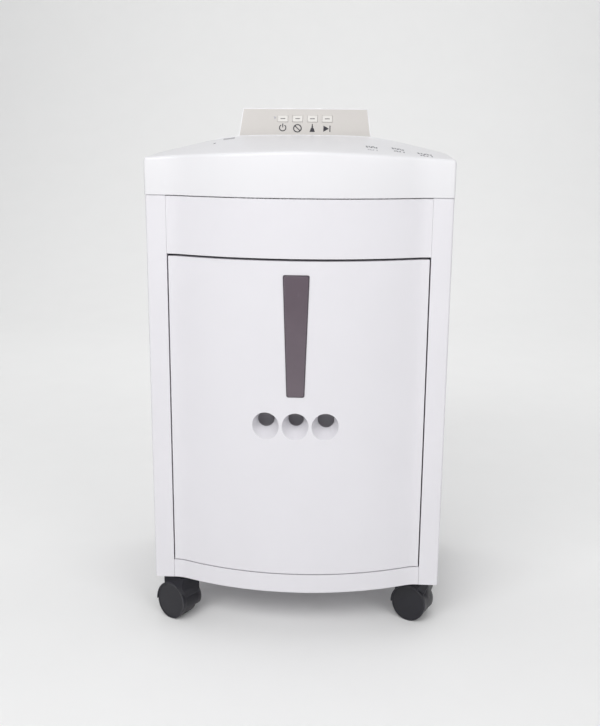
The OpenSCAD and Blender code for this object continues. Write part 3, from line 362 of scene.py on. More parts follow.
def makeFinish(name, own):
    look = {**plainLook, **own}
    finish = bpy.data.materials.new(name)
    finish.use_nodes = True
    tree = finish.node_tree
    tree.nodes.clear()
    out = tree.nodes.new("ShaderNodeOutputMaterial")
    skin = tree.nodes.new("ShaderNodeBsdfPrincipled")
    tree.links.new(skin.outputs["BSDF"], out.inputs["Surface"])
    where = tree.nodes.new("ShaderNodeTexCoord").outputs["Object"]

    def use(group, **values):
        node = tree.nodes.new("ShaderNodeGroup")
        node.node_tree = group
        tree.links.new(where, node.inputs["Vector"])
        for label, value in values.items():
            node.inputs[label].default_value = value
        return node

    color = look["color"]
    drift = use(mottleGroup, Size=look["driftSize"], Light=(*color, 1),
                Dark=(*scaled(color, 1 - look["drift"]), 1))
    grain = use(grainGroup, Size=look["grainSize"], Pebble=look["pebble"])
    wear = use(wearGroup, Radius=look["wearRadius"], Amount=look["wear"])
    scuff = use(scuffGroup, Stretch=look["stretch"], Cover=look["cover"])

    worn = tree.nodes.new("ShaderNodeMix")
    worn.data_type = "RGBA"
    worn.inputs["B"].default_value = (*look.get("wearColor", scaled(color, 1.05)), 1)
    tree.links.new(wear.outputs["Mask"], worn.inputs["Factor"])
    tree.links.new(drift.outputs["Color"], worn.inputs["A"])
    marked = tree.nodes.new("ShaderNodeMix")
    marked.data_type = "RGBA"
    marked.inputs["B"].default_value = (*look.get("scuffColor", scaled(color, 0.9)), 1)
    shown = mathNode(tree, "MULTIPLY", scuff.outputs["Mask"], look["scuff"])
    tree.links.new(shown, marked.inputs["Factor"])
    tree.links.new(worn.outputs["Result"], marked.inputs["A"])
    tree.links.new(marked.outputs["Result"], skin.inputs["Base Color"])

    centred = mathNode(tree, "SUBTRACT", grain.outputs["Value"], 0.5)
    drifted = mathNode(tree, "MULTIPLY", centred, look["roughSwing"] * 2)
    rubbed = mathNode(tree, "MULTIPLY", scuff.outputs["Mask"], look["scuffRough"])
    total = mathNode(tree, "ADD", mathNode(tree, "ADD", drifted, look["rough"]), rubbed, True)
    tree.links.new(total, skin.inputs["Roughness"])

    height = grain.outputs["Height"]
    if look["lines"] > 0:
        lines = mathNode(tree, "MULTIPLY", scuff.outputs["Height"], look["lines"])
        height = mathNode(tree, "ADD", height, lines)
    bump = tree.nodes.new("ShaderNodeBump")
    bump.inputs["Strength"].default_value = look["bump"]
    bump.inputs["Distance"].default_value = look["depth"]
    tree.links.new(height, bump.inputs["Height"])
    tree.links.new(bump.outputs["Normal"], skin.inputs["Normal"])

    skin.inputs["Metallic"].default_value = look["metal"]
    for label, key in (("Coat Weight", "coat"), ("Coat Roughness", "coatRough"), ("IOR", "ior"),
                       ("Specular IOR Level", "specular"), ("Transmission Weight", "through"),
                       ("Subsurface Weight", "inner")):
        if key in look:
            skin.inputs[label].default_value = look[key]
    if "inner" in look:
        # light goes about a millimetre and a half into the nylon
        skin.inputs["Subsurface Radius"].default_value = (1.0, 0.9, 0.8)
        skin.inputs["Subsurface Scale"].default_value = 1.5 * mm
    return finish


# one entry per finish: linear colour, gloss, grain size in cycles a metre, wear
looks = {
    "body_white": dict(
        color=(0.73, 0.718, 0.75), rough=0.42, grainSize=1500, bump=0.2, drift=0.02, wear=0.5),
    "cover_white": dict(
        color=(0.75, 0.745, 0.765), rough=0.34, grainSize=1700, bump=0.16, drift=0.015, wear=0.5,
        coat=0.12, coatRough=0.25),
    "panel_steel": dict(
        color=(0.73, 0.718, 0.75), rough=0.46, grainSize=1000, pebble=0.9, bump=0.35, drift=0.02,
        wear=0.5),
    "chassis_steel": dict(
        color=(0.60, 0.61, 0.62), rough=0.38, metal=1.0, grainSize=260, drift=0.22, driftSize=120,
        bump=0.15, wear=0.6, wearColor=(0.75, 0.75, 0.76), scuff=0.4, lines=0.4),
    "cutter_steel": dict(
        color=(0.36, 0.36, 0.37), rough=0.27, metal=1.0, grainSize=900, drift=0.18, bump=0.2,
        wear=1.0, wearColor=(0.7, 0.7, 0.71), scuff=0.6, stretch=(900.0, 60.0, 60.0), lines=0.7),
    "gear_steel": dict(
        color=(0.44, 0.43, 0.42), rough=0.33, metal=1.0, grainSize=1300, drift=0.15, bump=0.25,
        wear=1.0, wearColor=(0.68, 0.67, 0.65), scuff=0.4, stretch=(700.0, 90.0, 90.0), lines=0.4),
    "gear_nylon": dict(
        color=(0.74, 0.70, 0.58), rough=0.45, grainSize=800, drift=0.06, bump=0.2, inner=0.15),
    "bronze": dict(
        color=(0.62, 0.40, 0.21), rough=0.42, metal=1.0, grainSize=2200, pebble=1.0, drift=0.25,
        driftSize=200, bump=0.3, wear=0.8, wearColor=(0.8, 0.58, 0.36)),
    "overlay": dict(
        color=(0.58, 0.555, 0.53), rough=0.4, grainSize=2600, pebble=0.9, bump=0.18, drift=0.03,
        driftSize=22, wear=0.3),
    "key_plastic": dict(
        color=(0.69, 0.67, 0.64), rough=0.35, grainSize=2200, bump=0.12, drift=0.03, driftSize=60,
        wear=0.6, coat=0.1, coatRough=0.3),
    "window_smoke": dict(
        color=(0.135, 0.103, 0.127), rough=0.2, grainSize=500, bump=0.04, drift=0.08, driftSize=30,
        wear=1.0, wearColor=(0.42, 0.37, 0.42), wearRadius=0.0008, through=0.15, coat=0.5,
        coatRough=0.06, ior=1.49, scuff=0.15, stretch=(260.0, 260.0, 30.0),
        scuffColor=(0.26, 0.23, 0.26)),
    "pocket_grey": dict(
        color=(0.50, 0.48, 0.52), rough=0.5, grainSize=1400, bump=0.25, drift=0.05, wear=0.5,
        wearColor=(0.58, 0.57, 0.6)),
    "bin_grey": dict(
        color=(0.34, 0.34, 0.36), rough=0.52, grainSize=1100, pebble=0.8, bump=0.3, drift=0.06,
        wear=0.5, wearColor=(0.44, 0.44, 0.46), scuff=0.5, stretch=(300.0, 300.0, 24.0),
        scuffColor=(0.42, 0.42, 0.44)),
    "dark_plastic": dict(
        color=(0.024, 0.024, 0.026), rough=0.48, grainSize=1400, bump=0.25, drift=0.15, wear=0.5,
        wearColor=(0.06, 0.06, 0.065)),
    "caster_plastic": dict(
        color=(0.011, 0.0105, 0.016), rough=0.42, grainSize=1300, pebble=0.8, bump=0.35, drift=0.14,
        driftSize=60, wear=0.8, wearColor=(0.06, 0.06, 0.075), scuff=0.35,
        stretch=(240.0, 240.0, 60.0), scuffColor=(0.034, 0.034, 0.042)),
    "board_green": dict(
        color=(0.028, 0.16, 0.06), rough=0.3, grainSize=500, bump=0.3, drift=0.35, driftSize=260,
        wear=0.3, coat=0.3, coatRough=0.2, scuff=0.5, stretch=(420.0, 60.0, 420.0),
        scuffColor=(0.08, 0.28, 0.11)),
    "motor_paint": dict(
        color=(0.05, 0.052, 0.058), rough=0.32, grainSize=700, pebble=0.9, bump=0.3, drift=0.12,
        wear=1.0, wearColor=(0.3, 0.3, 0.31)),
    "screw_zinc": dict(
        color=(0.66, 0.68, 0.71), rough=0.26, metal=1.0, grainSize=1600, drift=0.12, driftSize=90,
        bump=0.15, wear=0.8, wearColor=(0.85, 0.85, 0.86)),
    "windowEdge": dict(
        color=(0.06, 0.045, 0.058), rough=0.3, grainSize=700, bump=0.05, drift=0.1, driftSize=60,
        wear=0.6, wearColor=(0.2, 0.17, 0.2), coat=0.3, coatRough=0.1),
    "printInk": dict(
        color=(0.018, 0.016, 0.026), rough=0.55, grainSize=3000, bump=0.1, drift=0.2, driftSize=300,
        wear=0.2),
    "printGrey": dict(
        color=(0.09, 0.085, 0.11), rough=0.55, grainSize=3000, bump=0.1, drift=0.2, driftSize=300,
        wear=0.2),
    "printPale": dict(
        color=(0.46, 0.45, 0.48), rough=0.55, grainSize=3000, bump=0.1, drift=0.2, driftSize=300,
        wear=0.2),
    "markGrey": dict(
        color=(0.2, 0.195, 0.19), rough=0.4, grainSize=3000, bump=0.1, drift=0.15, driftSize=300,
        wear=0.2),
    "brightPin": dict(
        color=(0.72, 0.70, 0.64), rough=0.22, metal=1.0, grainSize=1800, bump=0.1, drift=0.1,
        wear=0.6),
}
# the record's material slot for each finish that has none of its own
finishes = {name: makeFinish(name, look) for name, look in looks.items()}
for name, thing in nodes.items():
    dress(thing, finishes[slotOf[name]])
print("finishes ready:", len(finishes))


# cabinet skins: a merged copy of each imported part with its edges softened

# edge width, and the angle from which an edge counts as sharp
softParts = {
    "top_cover": dict(width=0.0, degrees=32),
    "console_housing": dict(width=0.5, degrees=32),
    "front_fascia": dict(width=0.5, degrees=40),
    "bottom_rail": dict(width=0.5, degrees=40),
    "left_side_panel": dict(width=0.5, degrees=40),
    "right_side_panel": dict(width=0.5, degrees=40),
    "rear_panel": dict(width=0.4, degrees=40),
    "drawer_front": dict(width=0.9, degrees=38),
    "handle_pocket": dict(width=0.5, degrees=40),
    "waste_bin": dict(width=0.8, degrees=40),
    "power_inlet": dict(width=0.4, degrees=40),
    "throat_guide": dict(width=0.4, degrees=40),
    "deck_plate": dict(width=0.4, degrees=40),
}
softParts.update({node: dict(width=0.35, degrees=40) for node in keyNodes})
softParts.update({"caster_hood_" + corner: dict(width=0.5, degrees=36) for corner in corners})
# doubles closer than this go, and faces flatter than this many degrees become one
softening = dict(mergeGap=0.002, flatDegrees=0.6)


def camel(name):
    words = name.split("_")
    return words[0] + "".join(word.capitalize() for word in words[1:])


# caster shoulders: the block between hood and swivel is cut back to a flat on either side. Places
# are from the swivel axis; leftBox and rightBox are the sizes of the boxes that cut
shoulder = dict(
    hoodRadius=26.15, coreLong=80, coreOut=20,
    leftAway=8.5, leftLevel=46, leftBox=(32, 60, 24),
    rightFoot=(39.1, 41.0), rightTop=(32.0, 57.5), rightBox=(80, 90, 24),
)


def flatCutter(normal, run, point, size):
    # a box whose face passes through the point, standing out along the normal
    turn = Matrix((run, normal.cross(run), normal)).transposed().to_4x4()
    bpy.ops.mesh.primitive_cube_add(size=1)
    cutter = bpy.context.object
    cutter.scale = (size[0] * mm, size[1] * mm, size[2] * mm)
    settle(cutter)
    moveMesh(cutter, Matrix.Translation(point + normal * size[2] * mm / 2) @ turn)
    turnOut(cutter)
    return cutter


def carveShoulder(piece, corner):
    spin = jointOf["wheel_" + corner + "_spin"]
    hub = Vector(spin["pos_m"])
    axis = Vector(spin["axis"]).normalized()
    swivel = Vector(jointOf["caster_" + corner + "_swivel"]["pos_m"])
    back = Vector((axis.x, axis.y, 0)).normalized()
    away = hub - swivel
    away.z = 0
    aside = (away - back * away.dot(back)).normalized()
    up = Vector((0, 0, 1))
    base = Vector((swivel.x, swivel.y, 0))

    # left: an upright flat that stops at the round of the hood
    leftNormal = -(aside + back).normalized()
    leftPoint = base + leftNormal * shoulder["leftAway"] * mm + up * (shoulder["leftLevel"] * mm)
    left = flatCutter(leftNormal, up, leftPoint, shoulder["leftBox"])
    bpy.ops.mesh.primitive_cylinder_add(
        vertices=96, radius=shoulder["hoodRadius"] * mm, depth=shoulder["coreLong"] * mm)
    core = bpy.context.object
    moveMesh(core, alongAxis(hub + axis * (shoulder["coreOut"] * mm), axis))
    cutAway(left, core)
    cutAway(piece, left)

    # right: a flat that leans in from foot to top
    (footX, footZ), (topX, topZ) = shoulder["rightFoot"], shoulder["rightTop"]
    climb = ((topX - footX) * aside + (topZ - footZ) * up).normalized()
    rightNormal = (up.dot(climb) * aside - aside.dot(climb) * up).normalized()
    rightPoint = base + (footX * aside + footZ * up) * mm
    cutAway(piece, flatCutter(rightNormal, climb, rightPoint, shoulder["rightBox"]))


def softCopy(node, width, degrees):
    piece = copyOf(nodes[node], camel(node) + "Skin")
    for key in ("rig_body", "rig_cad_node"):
        if key in piece:
            del piece[key]
    piece.parent = None
    piece.matrix_world = Matrix.Identity(4)
    if piece.data.has_custom_normals:
        bpy.ops.mesh.customdata_custom_splitnormals_clear()
    bpy.ops.object.mode_set(mode="EDIT")
    bpy.ops.mesh.select_all(action="SELECT")
    bpy.ops.mesh.remove_doubles(threshold=softening["mergeGap"] * mm)
    if width > 0:
        bpy.ops.mesh.dissolve_limited(angle_limit=math.radians(softening["flatDegrees"]))
    bpy.ops.object.mode_set(mode="OBJECT")
    if node.startswith("caster_hood"):
        carveShoulder(piece, node[-2:])
    if width > 0:
        roundEdges(piece, width * mm, degrees=degrees)
    else:
        smooth(piece, degrees)
    place(piece, bodyOf[node], slotOf[node])
    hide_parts(node)
    return piece


skins = {node: softCopy(node, **look) for node, look in softParts.items()}
print("soft-edged skins:", len(skins))


# paper slot lip: a rounded bead that follows the dome

slotLip = dict(halfLength=118.0, back=-4.0, thick=2.4, tall=2.2, sunk=0.45, edge=0.9, cuts=72)
coverSkin = skins["top_cover"]
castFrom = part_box("top_cover")[1].z + 100 * mm


def domeHeight(x, y):
    hit, point = coverSkin.ray_cast(Vector((x, y, castFrom)), Vector((0, 0, -1)))[:2]
    return point.z if hit else 0.0


def makeLip():
    middleY = slotLip["back"] - slotLip["thick"] / 2
    bpy.ops.mesh.primitive_cube_add(size=1, location=(0, middleY * mm, 0))
    lip = fresh("slotLip")
    lip.scale = (2 * slotLip["halfLength"] * mm, slotLip["thick"] * mm, slotLip["tall"] * mm)
    settle(lip)
    chooseEdges(lip, lambda a, b: abs(a.x - b.x) > slotLip["halfLength"] * mm)
    bpy.ops.mesh.subdivide(number_cuts=slotLip["cuts"])
    leaveEdit()
    frontY = (slotLip["back"] - slotLip["thick"]) * mm
    for point in lip.data.vertices:
        point.co.z += domeHeight(point.co.x, frontY) - slotLip["sunk"] * mm
    roundEdges(lip, slotLip["edge"] * mm, segments=4, degrees=50)
    place(lip, "cabinet", "cover_white")


makeLip()
print("slot lip")


# console face: plane of the overlay, with u across, v up the face and w out of it

# each icon stands above or below the row by its rise
console = dict(
    overlayThick=0.6, ink=0.09, iconRow=11.7, keyRow=25.0, keyRise=0.72,
    dash=dict(wide=6.5, high=1.25, thick=0.16, edge=0.05),
    power=dict(radius=4.3, line=1.3, rise=0.6, start=58, sweep=296, stem=5.4, stemRise=3.7),
    cancel=dict(radius=5.1, line=1.45, bar=1.4, length=9.6, lean=45),
    clean=dict(skirt=((-3.6, -4.9), (3.6, -4.9), (1.7, 0.8), (-1.7, 0.8)),
               collar=(2.0, 2.2, 2.1), handle=(1.2, 3.2, 4.6)),
    forward=dict(arrow=((-4.6, -4.4), (3.0, 0), (-4.6, 4.4)), arrowLeft=0.4, rise=-0.3,
                 bar=(1.3, 8.8, 3.9)),
    pointer=dict(outline=((-2.2, 2.3), (1.6, 1.5), (-0.6, -2.4)), left=10.5, rise=1.0),
)


def facePlane():
    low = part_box("console_overlay")[0]
    inward = Vector(jointOf["power_key_press"]["axis"])
    outward = -inward
    upward = Vector((0, -inward.z, inward.y))
    foot = Vector((0, low.y, low.z + console["overlayThick"] * mm * abs(inward.z)))
    return Matrix(((1, upward.x, outward.x, foot.x), (0, upward.y, outward.y, foot.y),
                   (0, upward.z, outward.z, foot.z), (0, 0, 0, 1)))


def middleX(node):
    low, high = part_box(node)
    return (low.x + high.x) / 2 / mm


def bar(wide, high, thick, u, v, w, turn=0.0):
    bpy.ops.mesh.primitive_cube_add(
        size=1, location=(u * mm, v * mm, w * mm), rotation=(0, 0, math.radians(turn)))
    piece = bpy.context.object
    piece.scale = (wide * mm, high * mm, thick * mm)
    settle(piece)
    return piece


def arc(radius, wide, thick, u, v, w, start=0.0, sweep=360.0):
    # a short line across the strip, spun about the icon's centre and thickened
    bpy.ops.mesh.primitive_plane_add(size=1, location=(radius * mm, 0, 0))
    piece = bpy.context.object
    piece.scale = (wide * mm, 0.01 * mm, 1)
    settle(piece)
    pick(piece)
    bpy.ops.object.mode_set(mode="EDIT")
    bpy.ops.mesh.select_mode(type="VERT")
    bpy.ops.mesh.select_all(action="SELECT")
    bpy.ops.mesh.delete(type="ONLY_FACE")
    bpy.ops.object.mode_set(mode="OBJECT")
    for point in piece.data.vertices:
        point.co.y = 0.0
    bpy.ops.object.mode_set(mode="EDIT")
    bpy.ops.mesh.select_all(action="SELECT")
    bpy.ops.mesh.remove_doubles(threshold=touching / 10)
    bpy.ops.mesh.select_all(action="SELECT")
    bpy.ops.mesh.spin(steps=48, angle=math.radians(sweep), center=(0, 0, 0), axis=(0, 0, 1))
    bpy.ops.mesh.select_all(action="SELECT")
    bpy.ops.mesh.remove_doubles(threshold=touching / 10)
    bpy.ops.mesh.normals_make_consistent(inside=False)
    bpy.ops.object.mode_set(mode="OBJECT")
    thicken(piece, thick * mm)
    piece.rotation_euler = (0, 0, math.radians(start))
    piece.location = (u * mm, v * mm, w * mm)
    settle(piece)
    turnOut(piece)
    return piece


def wedge(points, thick, u, v, w):
    # a flat outline, one corner for each point, then thickened
    bpy.ops.mesh.primitive_circle_add(vertices=len(points), radius=mm, fill_type="NGON")
    piece = bpy.context.object
    for index, (x, y) in enumerate(points):
        piece.data.vertices[index].co = ((u + x) * mm, (v + y) * mm, w * mm)
    thicken(piece, thick * mm)
    turnOut(piece)
    return piece


keyXs = [middleX(node) for node in keyNodes]
ink = console["ink"]
row = console["iconRow"]


def powerIcon(x):
    look = console["power"]
    ring = arc(look["radius"], look["line"], ink, x, row + look["rise"], ink / 2,
               look["start"], look["sweep"])
    stem = bar(look["line"], look["stem"], ink, x, row + look["stemRise"], ink / 2)
    return joined([ring, stem], "powerIcon")


def cancelIcon(x):
    look = console["cancel"]
    ring = arc(look["radius"], look["line"], ink, x, row, ink / 2)
    stroke = bar(look["bar"], look["length"], ink, x, row, ink / 2, look["lean"])
    return joined([ring, stroke], "cancelIcon")


def cleanIcon(x):
    look = console["clean"]
    skirt = wedge(look["skirt"], ink, x, row, ink / 2)
    parts = [bar(wide, high, ink, x, row + rise, ink / 2)
             for wide, high, rise in (look["collar"], look["handle"])]
    return joined([skirt] + parts, "cleanIcon")


def forwardIcon(x):
    look = console["forward"]
    wide, high, out = look["bar"]
    arrow = wedge(look["arrow"], ink, x - look["arrowLeft"], row + look["rise"], ink / 2)
    stop = bar(wide, high, ink, x + out, row + look["rise"], ink / 2)
    return joined([arrow, stop], "forwardIcon")


def statusPointer(x):
    look = console["pointer"]
    piece = wedge(look["outline"], ink, x - look["left"], console["keyRow"] + look["rise"], ink / 2)
    piece.name = "statusPointer"
    return piece


def makeConsoleMarks():
    face = facePlane()
    marks = [powerIcon(keyXs[0]), cancelIcon(keyXs[1]), cleanIcon(keyXs[2]),
             forwardIcon(keyXs[3]), statusPointer(keyXs[0])]
    for piece, finish in zip(marks, 4 * ["printInk"] + ["printPale"]):
        moveMesh(piece, face)
        place(piece, "cabinet", finish)
    look = console["dash"]
    for node, x in zip(keyNodes, keyXs):
        dash = bar(look["wide"], look["high"], look["thick"], x, console["keyRow"],
                   console["keyRise"])
        dash.name = camel(node) + "Dash"
        roundEdges(dash, look["edge"] * mm, segments=2, degrees=40)
        moveMesh(dash, face)
        place(dash, bodyOf[node], "markGrey")


makeConsoleMarks()
print("console marks")


# printed pictograms on the dome: small strips laid on the surface

# a group is its x, the depth of its two rows behind the front edge and its width; a strip in a row
# is its place in fifths of the width, its own width in the same fifths, its depth, how far it
# stands back and its turn in degrees
topMarks = dict(
    thick=0.07, lift=0.03, squares=6,
    groups=((89, 65, 45, 15.0), (122, 78, 58, 16.0), (155, 70, 52, 19.0)),
    farRow=((-2, 0.62, 12.0, 0, 6), (-1, 0.5, 9.0, 2, 0), (0, 0.7, 11.0, 0, -8),
            (1, 0.5, 12.0, 1, 10), (2, 0.62, 9.0, -1, 0)),
    nearRow=((-1.4, 0.5, 7.0, 0, 0), (-0.5, 0.6, 8.0, 0, 12), (0.6, 0.6, 7.0, 0, -6),
             (2.1, 0.5, 8.0, 0, 0)),
    side=(15.0, 17.0, -98.0, -27.0, 4), dot=(2.6, 7.0, -113.0, -58.0, 0),
)


def laid(wide, deep, x, y, turn):
    bpy.ops.mesh.primitive_grid_add(
        x_subdivisions=topMarks["squares"], y_subdivisions=topMarks["squares"], size=1,
        location=(x * mm, y * mm, 0), rotation=(0, 0, math.radians(turn)))
    piece = bpy.context.object
    piece.scale = (wide * mm, deep * mm, 1)
    settle(piece)
    return piece


def laidRow(strips, x, y, step):
    return [laid(step * share, deep, x + spot * step, y + back, turn)
            for spot, share, deep, back, turn in strips]


def onDome(pieces, name, finish="printGrey"):
    mark = joined(pieces, name)
    for point in mark.data.vertices:
        point.co.z = domeHeight(point.co.x, point.co.y) + topMarks["lift"] * mm
    turnOut(mark)
    thicken(mark, topMarks["thick"] * mm, 1.0)
    place(mark, "cabinet", finish)


def makeTopMarks():
    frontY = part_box("top_cover")[0].y / mm
    for index, (x, far, near, wide) in enumerate(topMarks["groups"]):
        number = str(index + 1)
        farStrips = laidRow(topMarks["farRow"], x, frontY + far, wide / 5)
        nearStrips = laidRow(topMarks["nearRow"], x, frontY + near, wide / 5)
        onDome(farStrips, "paperGuideMark" + number)
        onDome(nearStrips, "paperGuideNote" + number, "printPale" if index == 0 else "printGrey")
    onDome([laid(*topMarks["side"])], "slotSideMark", "printPale")
    onDome([laid(*topMarks["dot"])], "slotDotMark")


makeTopMarks()
print("dome marks")


# viewing window: a tapered smoked pane that stands a little proud of its darker border

window = dict(flange=5.0, border=1.3, frameBack=0.55, frameThick=4.0, paneThick=1.5,
              cornerRadius=2.4, footShare=0.691, edge=0.45)


def makeWindow(name, border, back, thick, finish):
    low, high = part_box("drawer_window")
    middle = (low + high) / 2
    # the flange behind the door is wider than the pane
    half = (high.x - low.x) / 2 - window["flange"] * mm
    top = half - border * mm
    foot = half * window["footShare"] - border * mm
    z0 = low.z + (window["flange"] + border) * mm
    z1 = high.z - (window["flange"] + border) * mm
    centre = (middle.x, low.y + back * mm + thick * mm / 2, (z0 + z1) / 2)
    bpy.ops.mesh.primitive_cube_add(size=1, location=centre)
    pane = fresh(name)
    pane.scale = (2 * top, thick * mm, z1 - z0)
    settle(pane)
    for point in pane.data.vertices:
        if point.co.z < middle.z:
            point.co.x = middle.x + (point.co.x - middle.x) * foot / top
    chooseEdges(pane, lambda a, b: abs(a.y - b.y) > thick * mm * 0.5)
    bpy.ops.mesh.bevel(offset=window["cornerRadius"] * mm, segments=2, affect="EDGES",
                       clamp_overlap=True)
    leaveEdit()
    roundEdges(pane, window["edge"] * mm, segments=2, degrees=30)
    place(pane, "drawer", finish)
    return pane


makeWindow("windowFrame", 0.0, window["frameBack"], window["frameThick"], "windowEdge")
pane = makeWindow("smokedPane", window["border"], 0.0, window["paneThick"], "window_smoke")
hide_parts("drawer_window")
print("window pane")


# caster wheels: one turned disc, copied to the four corners

# steps go inwards from the outer face, as depth and radius; the well is hollow on the inner side
wheelLook = dict(
    faceBack=6.0, edge=0.45,
    steps=((0.8, 24.5), (2.6, 24.5), (4.5, 23.8), (8.0, 23.5), (12.0, 23.2), (18.0, 22.6),
           (25.0, 21.9), (29.0, 21.2)),
    tyre=4.5, wellDeep=16, wellWide=6.0, hubHigh=17,
    rim=2.6, dish=0.9, dishEdge=1.0, dome=((10.0, 0.35), (6.0, 0.1)),
)


def pushOut(high):
    bpy.ops.mesh.extrude_region_move(TRANSFORM_OT_translate={"value": (0, 0, high * mm)})


def makeDisc():
    depth, radius = wheelLook["steps"][0]
    bpy.ops.mesh.primitive_cylinder_add(
        vertices=96, radius=radius * mm, depth=depth * mm, location=(0, 0, depth / 2 * mm))
    disc = fresh("casterDisc")
    settle(disc)
    chooseFaces(disc, lambda c, n: n.z > 0.9)
    for nextDepth, nextRadius in wheelLook["steps"][1:]:
        pushOut(nextDepth - depth)
        bpy.ops.transform.resize(value=(nextRadius / radius, nextRadius / radius, 1))
        depth, radius = nextDepth, nextRadius
    bpy.ops.mesh.inset(thickness=wheelLook["tyre"] * mm)
    pushOut(-wheelLook["wellDeep"])
    bpy.ops.mesh.inset(thickness=wheelLook["wellWide"] * mm)
    pushOut(wheelLook["hubHigh"])
    leaveEdit()
    # shallow turned face with a raised rim and a slightly domed middle
    chooseFaces(disc, lambda c, n: n.z < -0.9 and c.z < 0.1 * mm)
    bpy.ops.mesh.inset(thickness=wheelLook["rim"] * mm)
    bpy.ops.transform.translate(value=(0, 0, wheelLook["dish"] * mm))
    bpy.ops.mesh.inset(thickness=wheelLook["dishEdge"] * mm)
    for wide, high in wheelLook["dome"]:
        bpy.ops.mesh.inset(thickness=wide * mm)
        bpy.ops.transform.translate(value=(0, 0, -high * mm))
    leaveEdit()
    roundEdges(disc, wheelLook["edge"] * mm, degrees=25)
    return disc


def makeWheels():
    disc = makeDisc()
    for corner in corners:
        spin = jointOf["wheel_" + corner + "_spin"]
        axis = Vector(spin["axis"]).normalized()
        centre = Vector(spin["pos_m"]) - axis * wheelLook["faceBack"] * mm
        wheel = copyOf(disc, "casterDisc" + corner.capitalize())
        moveMesh(wheel, alongAxis(centre, axis))
        place(wheel, "wheel_" + corner, "caster_plastic")
        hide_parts("caster_wheel_" + corner)
    remove(disc)


makeWheels()
print("caster wheels")


# rear screws: domed heads with a cross recess, two columns up the back

screwLook = dict(radius=3.6, high=1.9, slot=0.95, reach=4.4, deep=1.1, edge=0.9, proud=0.02,
                 grow=1.01, turnStep=37, heights=(0.0, 160 / 470, 320 / 470, 1.0))


def makeScrewHead():
    radius, high = screwLook["radius"], screwLook["high"]
    bpy.ops.mesh.primitive_cylinder_add(
        vertices=48, radius=radius * mm, depth=high * mm, location=(0, 0, high / 2 * mm))
    head = fresh("panHead")
    settle(head)
    chooseFaces(head, lambda c, n: n.z > 0.9)
    bpy.ops.mesh.bevel(offset=screwLook["edge"] * mm, segments=5, affect="EDGES",
                       clamp_overlap=True)
    leaveEdit()
    for turn in (0, 90):
        blade = bar(screwLook["reach"], screwLook["slot"], 2 * screwLook["deep"], 0, 0, high, turn)
        cutAway(head, blade)
    smooth(head, 30)
    return head


def rearHeads():
    low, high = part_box("cabinet_screws")
    radius = screwLook["radius"] * mm
    seat = high.y - screwLook["high"] * mm + screwLook["proud"] * mm
    foot = low.z + radius
    rise = high.z - radius - foot
    spots = [(x, foot + rise * share) for x in (low.x + radius, high.x - radius)
             for share in screwLook["heights"]]
    head = makeScrewHead()
    for index, (x, z) in enumerate(spots):
        screw = copyOf(head, "rearScrewHead" + str(index + 1))
        spun = Matrix.Rotation(math.radians(screwLook["turnStep"] * (index + 1)), 4, "Z")
        turn = Matrix.Rotation(math.radians(-90), 4, "X") @ spun
        grown = Matrix.Scale(screwLook["grow"], 4)
        moveMesh(screw, Matrix.Translation((x, seat, z)) @ turn @ grown)
        place(screw, "cabinet", "screw_zinc")
    remove(head)


rearHeads()


# the inlet's bright pins: spots are across and up from its middle, back is in from its rear face

inletPins = dict(wide=2.2, high=4.2, length=12.6, back=9.6, edge=0.5,
                 spots=((-7, -1.5), (0, 2), (7, -1.5)))


def makeInletPins():
    low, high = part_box("power_inlet")
    middle = (low + high) / 2
    turn = Matrix.Rotation(math.radians(90), 4, "X")
    for index, (x, z) in enumerate(inletPins["spots"]):
        pin = bar(inletPins["wide"], inletPins["high"], inletPins["length"], 0, 0, 0)
        pin.name = "inletPin" + str(index + 1)
        roundEdges(pin, inletPins["edge"] * mm, degrees=40)
        spot = (middle.x + x * mm, high.y - inletPins["back"] * mm, middle.z + z * mm)
        moveMesh(pin, Matrix.Translation(spot) @ turn)
        place(pin, "cabinet", "brightPin")


makeInletPins()
print("rear screws and inlet pins")


# studio: pale sweep, soft light, camera

studio = dict(
    floorShade=(0.86, 0.86, 0.855), worldShade=(0.95, 0.955, 0.97), worldPower=0.40,
    floorWide=14, floorForward=3.0, wallHigh=7, sweepRadius=2.2,
)
softPanels = {
    "keyPanel": dict(power=22.0, size=(1.5, 0.9), spot=(-0.6, -1.6, 1.5), aim=(0, 0, 0.5)),
    "fillPanel": dict(power=11.0, size=(1.2, 0.9), spot=(1.1, -1.6, 1.4), aim=(0, 0, 0.5)),
    "topPanel": dict(power=7.0, size=(2.4, 2.0), spot=(0, 0.2, 2.8), aim=(0, 0, 0.4)),
    "wallPanel": dict(power=50.0, size=(4.0, 1.6), spot=(0, 1.0, 2.6), aim=(0, 3.6, 0.6)),
}


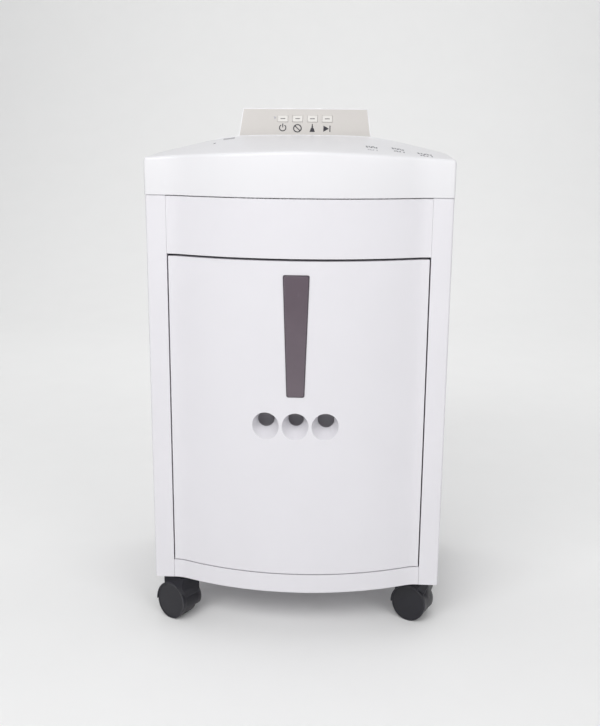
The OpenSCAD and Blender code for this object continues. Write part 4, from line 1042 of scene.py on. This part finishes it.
def makeSweep():
    bpy.ops.mesh.primitive_plane_add(
        size=studio["floorWide"], location=(0, -studio["floorForward"], 0))
    sweep = fresh("studioSweep")
    settle(sweep)
    # the back edge of the floor goes up as a wall, and the corner between them is rounded
    farY = studio["floorWide"] / 2 - studio["floorForward"] - 1
    chooseEdges(sweep, lambda a, b: a.y > farY and b.y > farY)
    bpy.ops.mesh.extrude_region_move(
        TRANSFORM_OT_translate={"value": (0, 0, studio["wallHigh"])})
    leaveEdit()
    chooseEdges(sweep, lambda a, b: min(a.y, b.y) > farY and max(a.z, b.z) < 10 * mm)
    bpy.ops.mesh.bevel(offset=studio["sweepRadius"], segments=24, affect="EDGES",
                       clamp_overlap=True)
    leaveEdit()
    smooth(sweep, 40)
    paper = makeFinish("studioPaper", dict(
        color=studio["floorShade"], rough=0.85, grainSize=300, bump=0.05, drift=0.01, wear=0.0,
        specular=0.1, scuff=0.0))
    dress(sweep, paper)


def softLight(name, power, size, spot, aim):
    light = bpy.data.lights.new(name, "AREA")
    light.energy = power
    light.shape = "RECTANGLE"
    light.size, light.size_y = size
    lamp = bpy.data.objects.new(name, light)
    bpy.context.scene.collection.objects.link(lamp)
    lamp.location = spot
    lamp.rotation_euler = (Vector(aim) - Vector(spot)).to_track_quat("-Z", "Y").to_euler()


makeSweep()
for name, look in softPanels.items():
    softLight(name, **look)

world = bpy.data.worlds.new("studioWorld")
bpy.context.scene.world = world
world.use_nodes = True
sky = world.node_tree.nodes["Background"]
sky.inputs["Color"].default_value = (*studio["worldShade"], 1)
sky.inputs["Strength"].default_value = studio["worldPower"]
bpy.context.scene.view_settings.view_transform = "Standard"

# camera: where it stands in metres, its angles in degrees, lens and film width in millimetres
shot = dict(spot=(0.0696, -1.3339, 0.6582), yaw=3.13, pitch=13.60, roll=0.47, lens=48.05, film=36)


def makeCamera():
    yaw, pitch, roll = (math.radians(shot[key]) for key in ("yaw", "pitch", "roll"))
    ahead = Vector((-math.sin(yaw) * math.cos(pitch), math.cos(yaw) * math.cos(pitch),
                    -math.sin(pitch)))
    side = Vector((math.cos(yaw), math.sin(yaw), 0))
    above = side.cross(ahead)
    right = side * math.cos(roll) + above * math.sin(roll)
    upward = -side * math.sin(roll) + above * math.cos(roll)
    lens = bpy.data.cameras.new("productCamera")
    lens.sensor_width = shot["film"]
    lens.lens = shot["lens"]
    camera = bpy.data.objects.new("productCamera", lens)
    bpy.context.scene.collection.objects.link(camera)
    turn = Matrix((right, upward, -ahead)).transposed().to_4x4()
    camera.matrix_world = Matrix.Translation(shot["spot"]) @ turn
    bpy.context.scene.camera = camera


makeCamera()
clearPick()
print("studio ready")
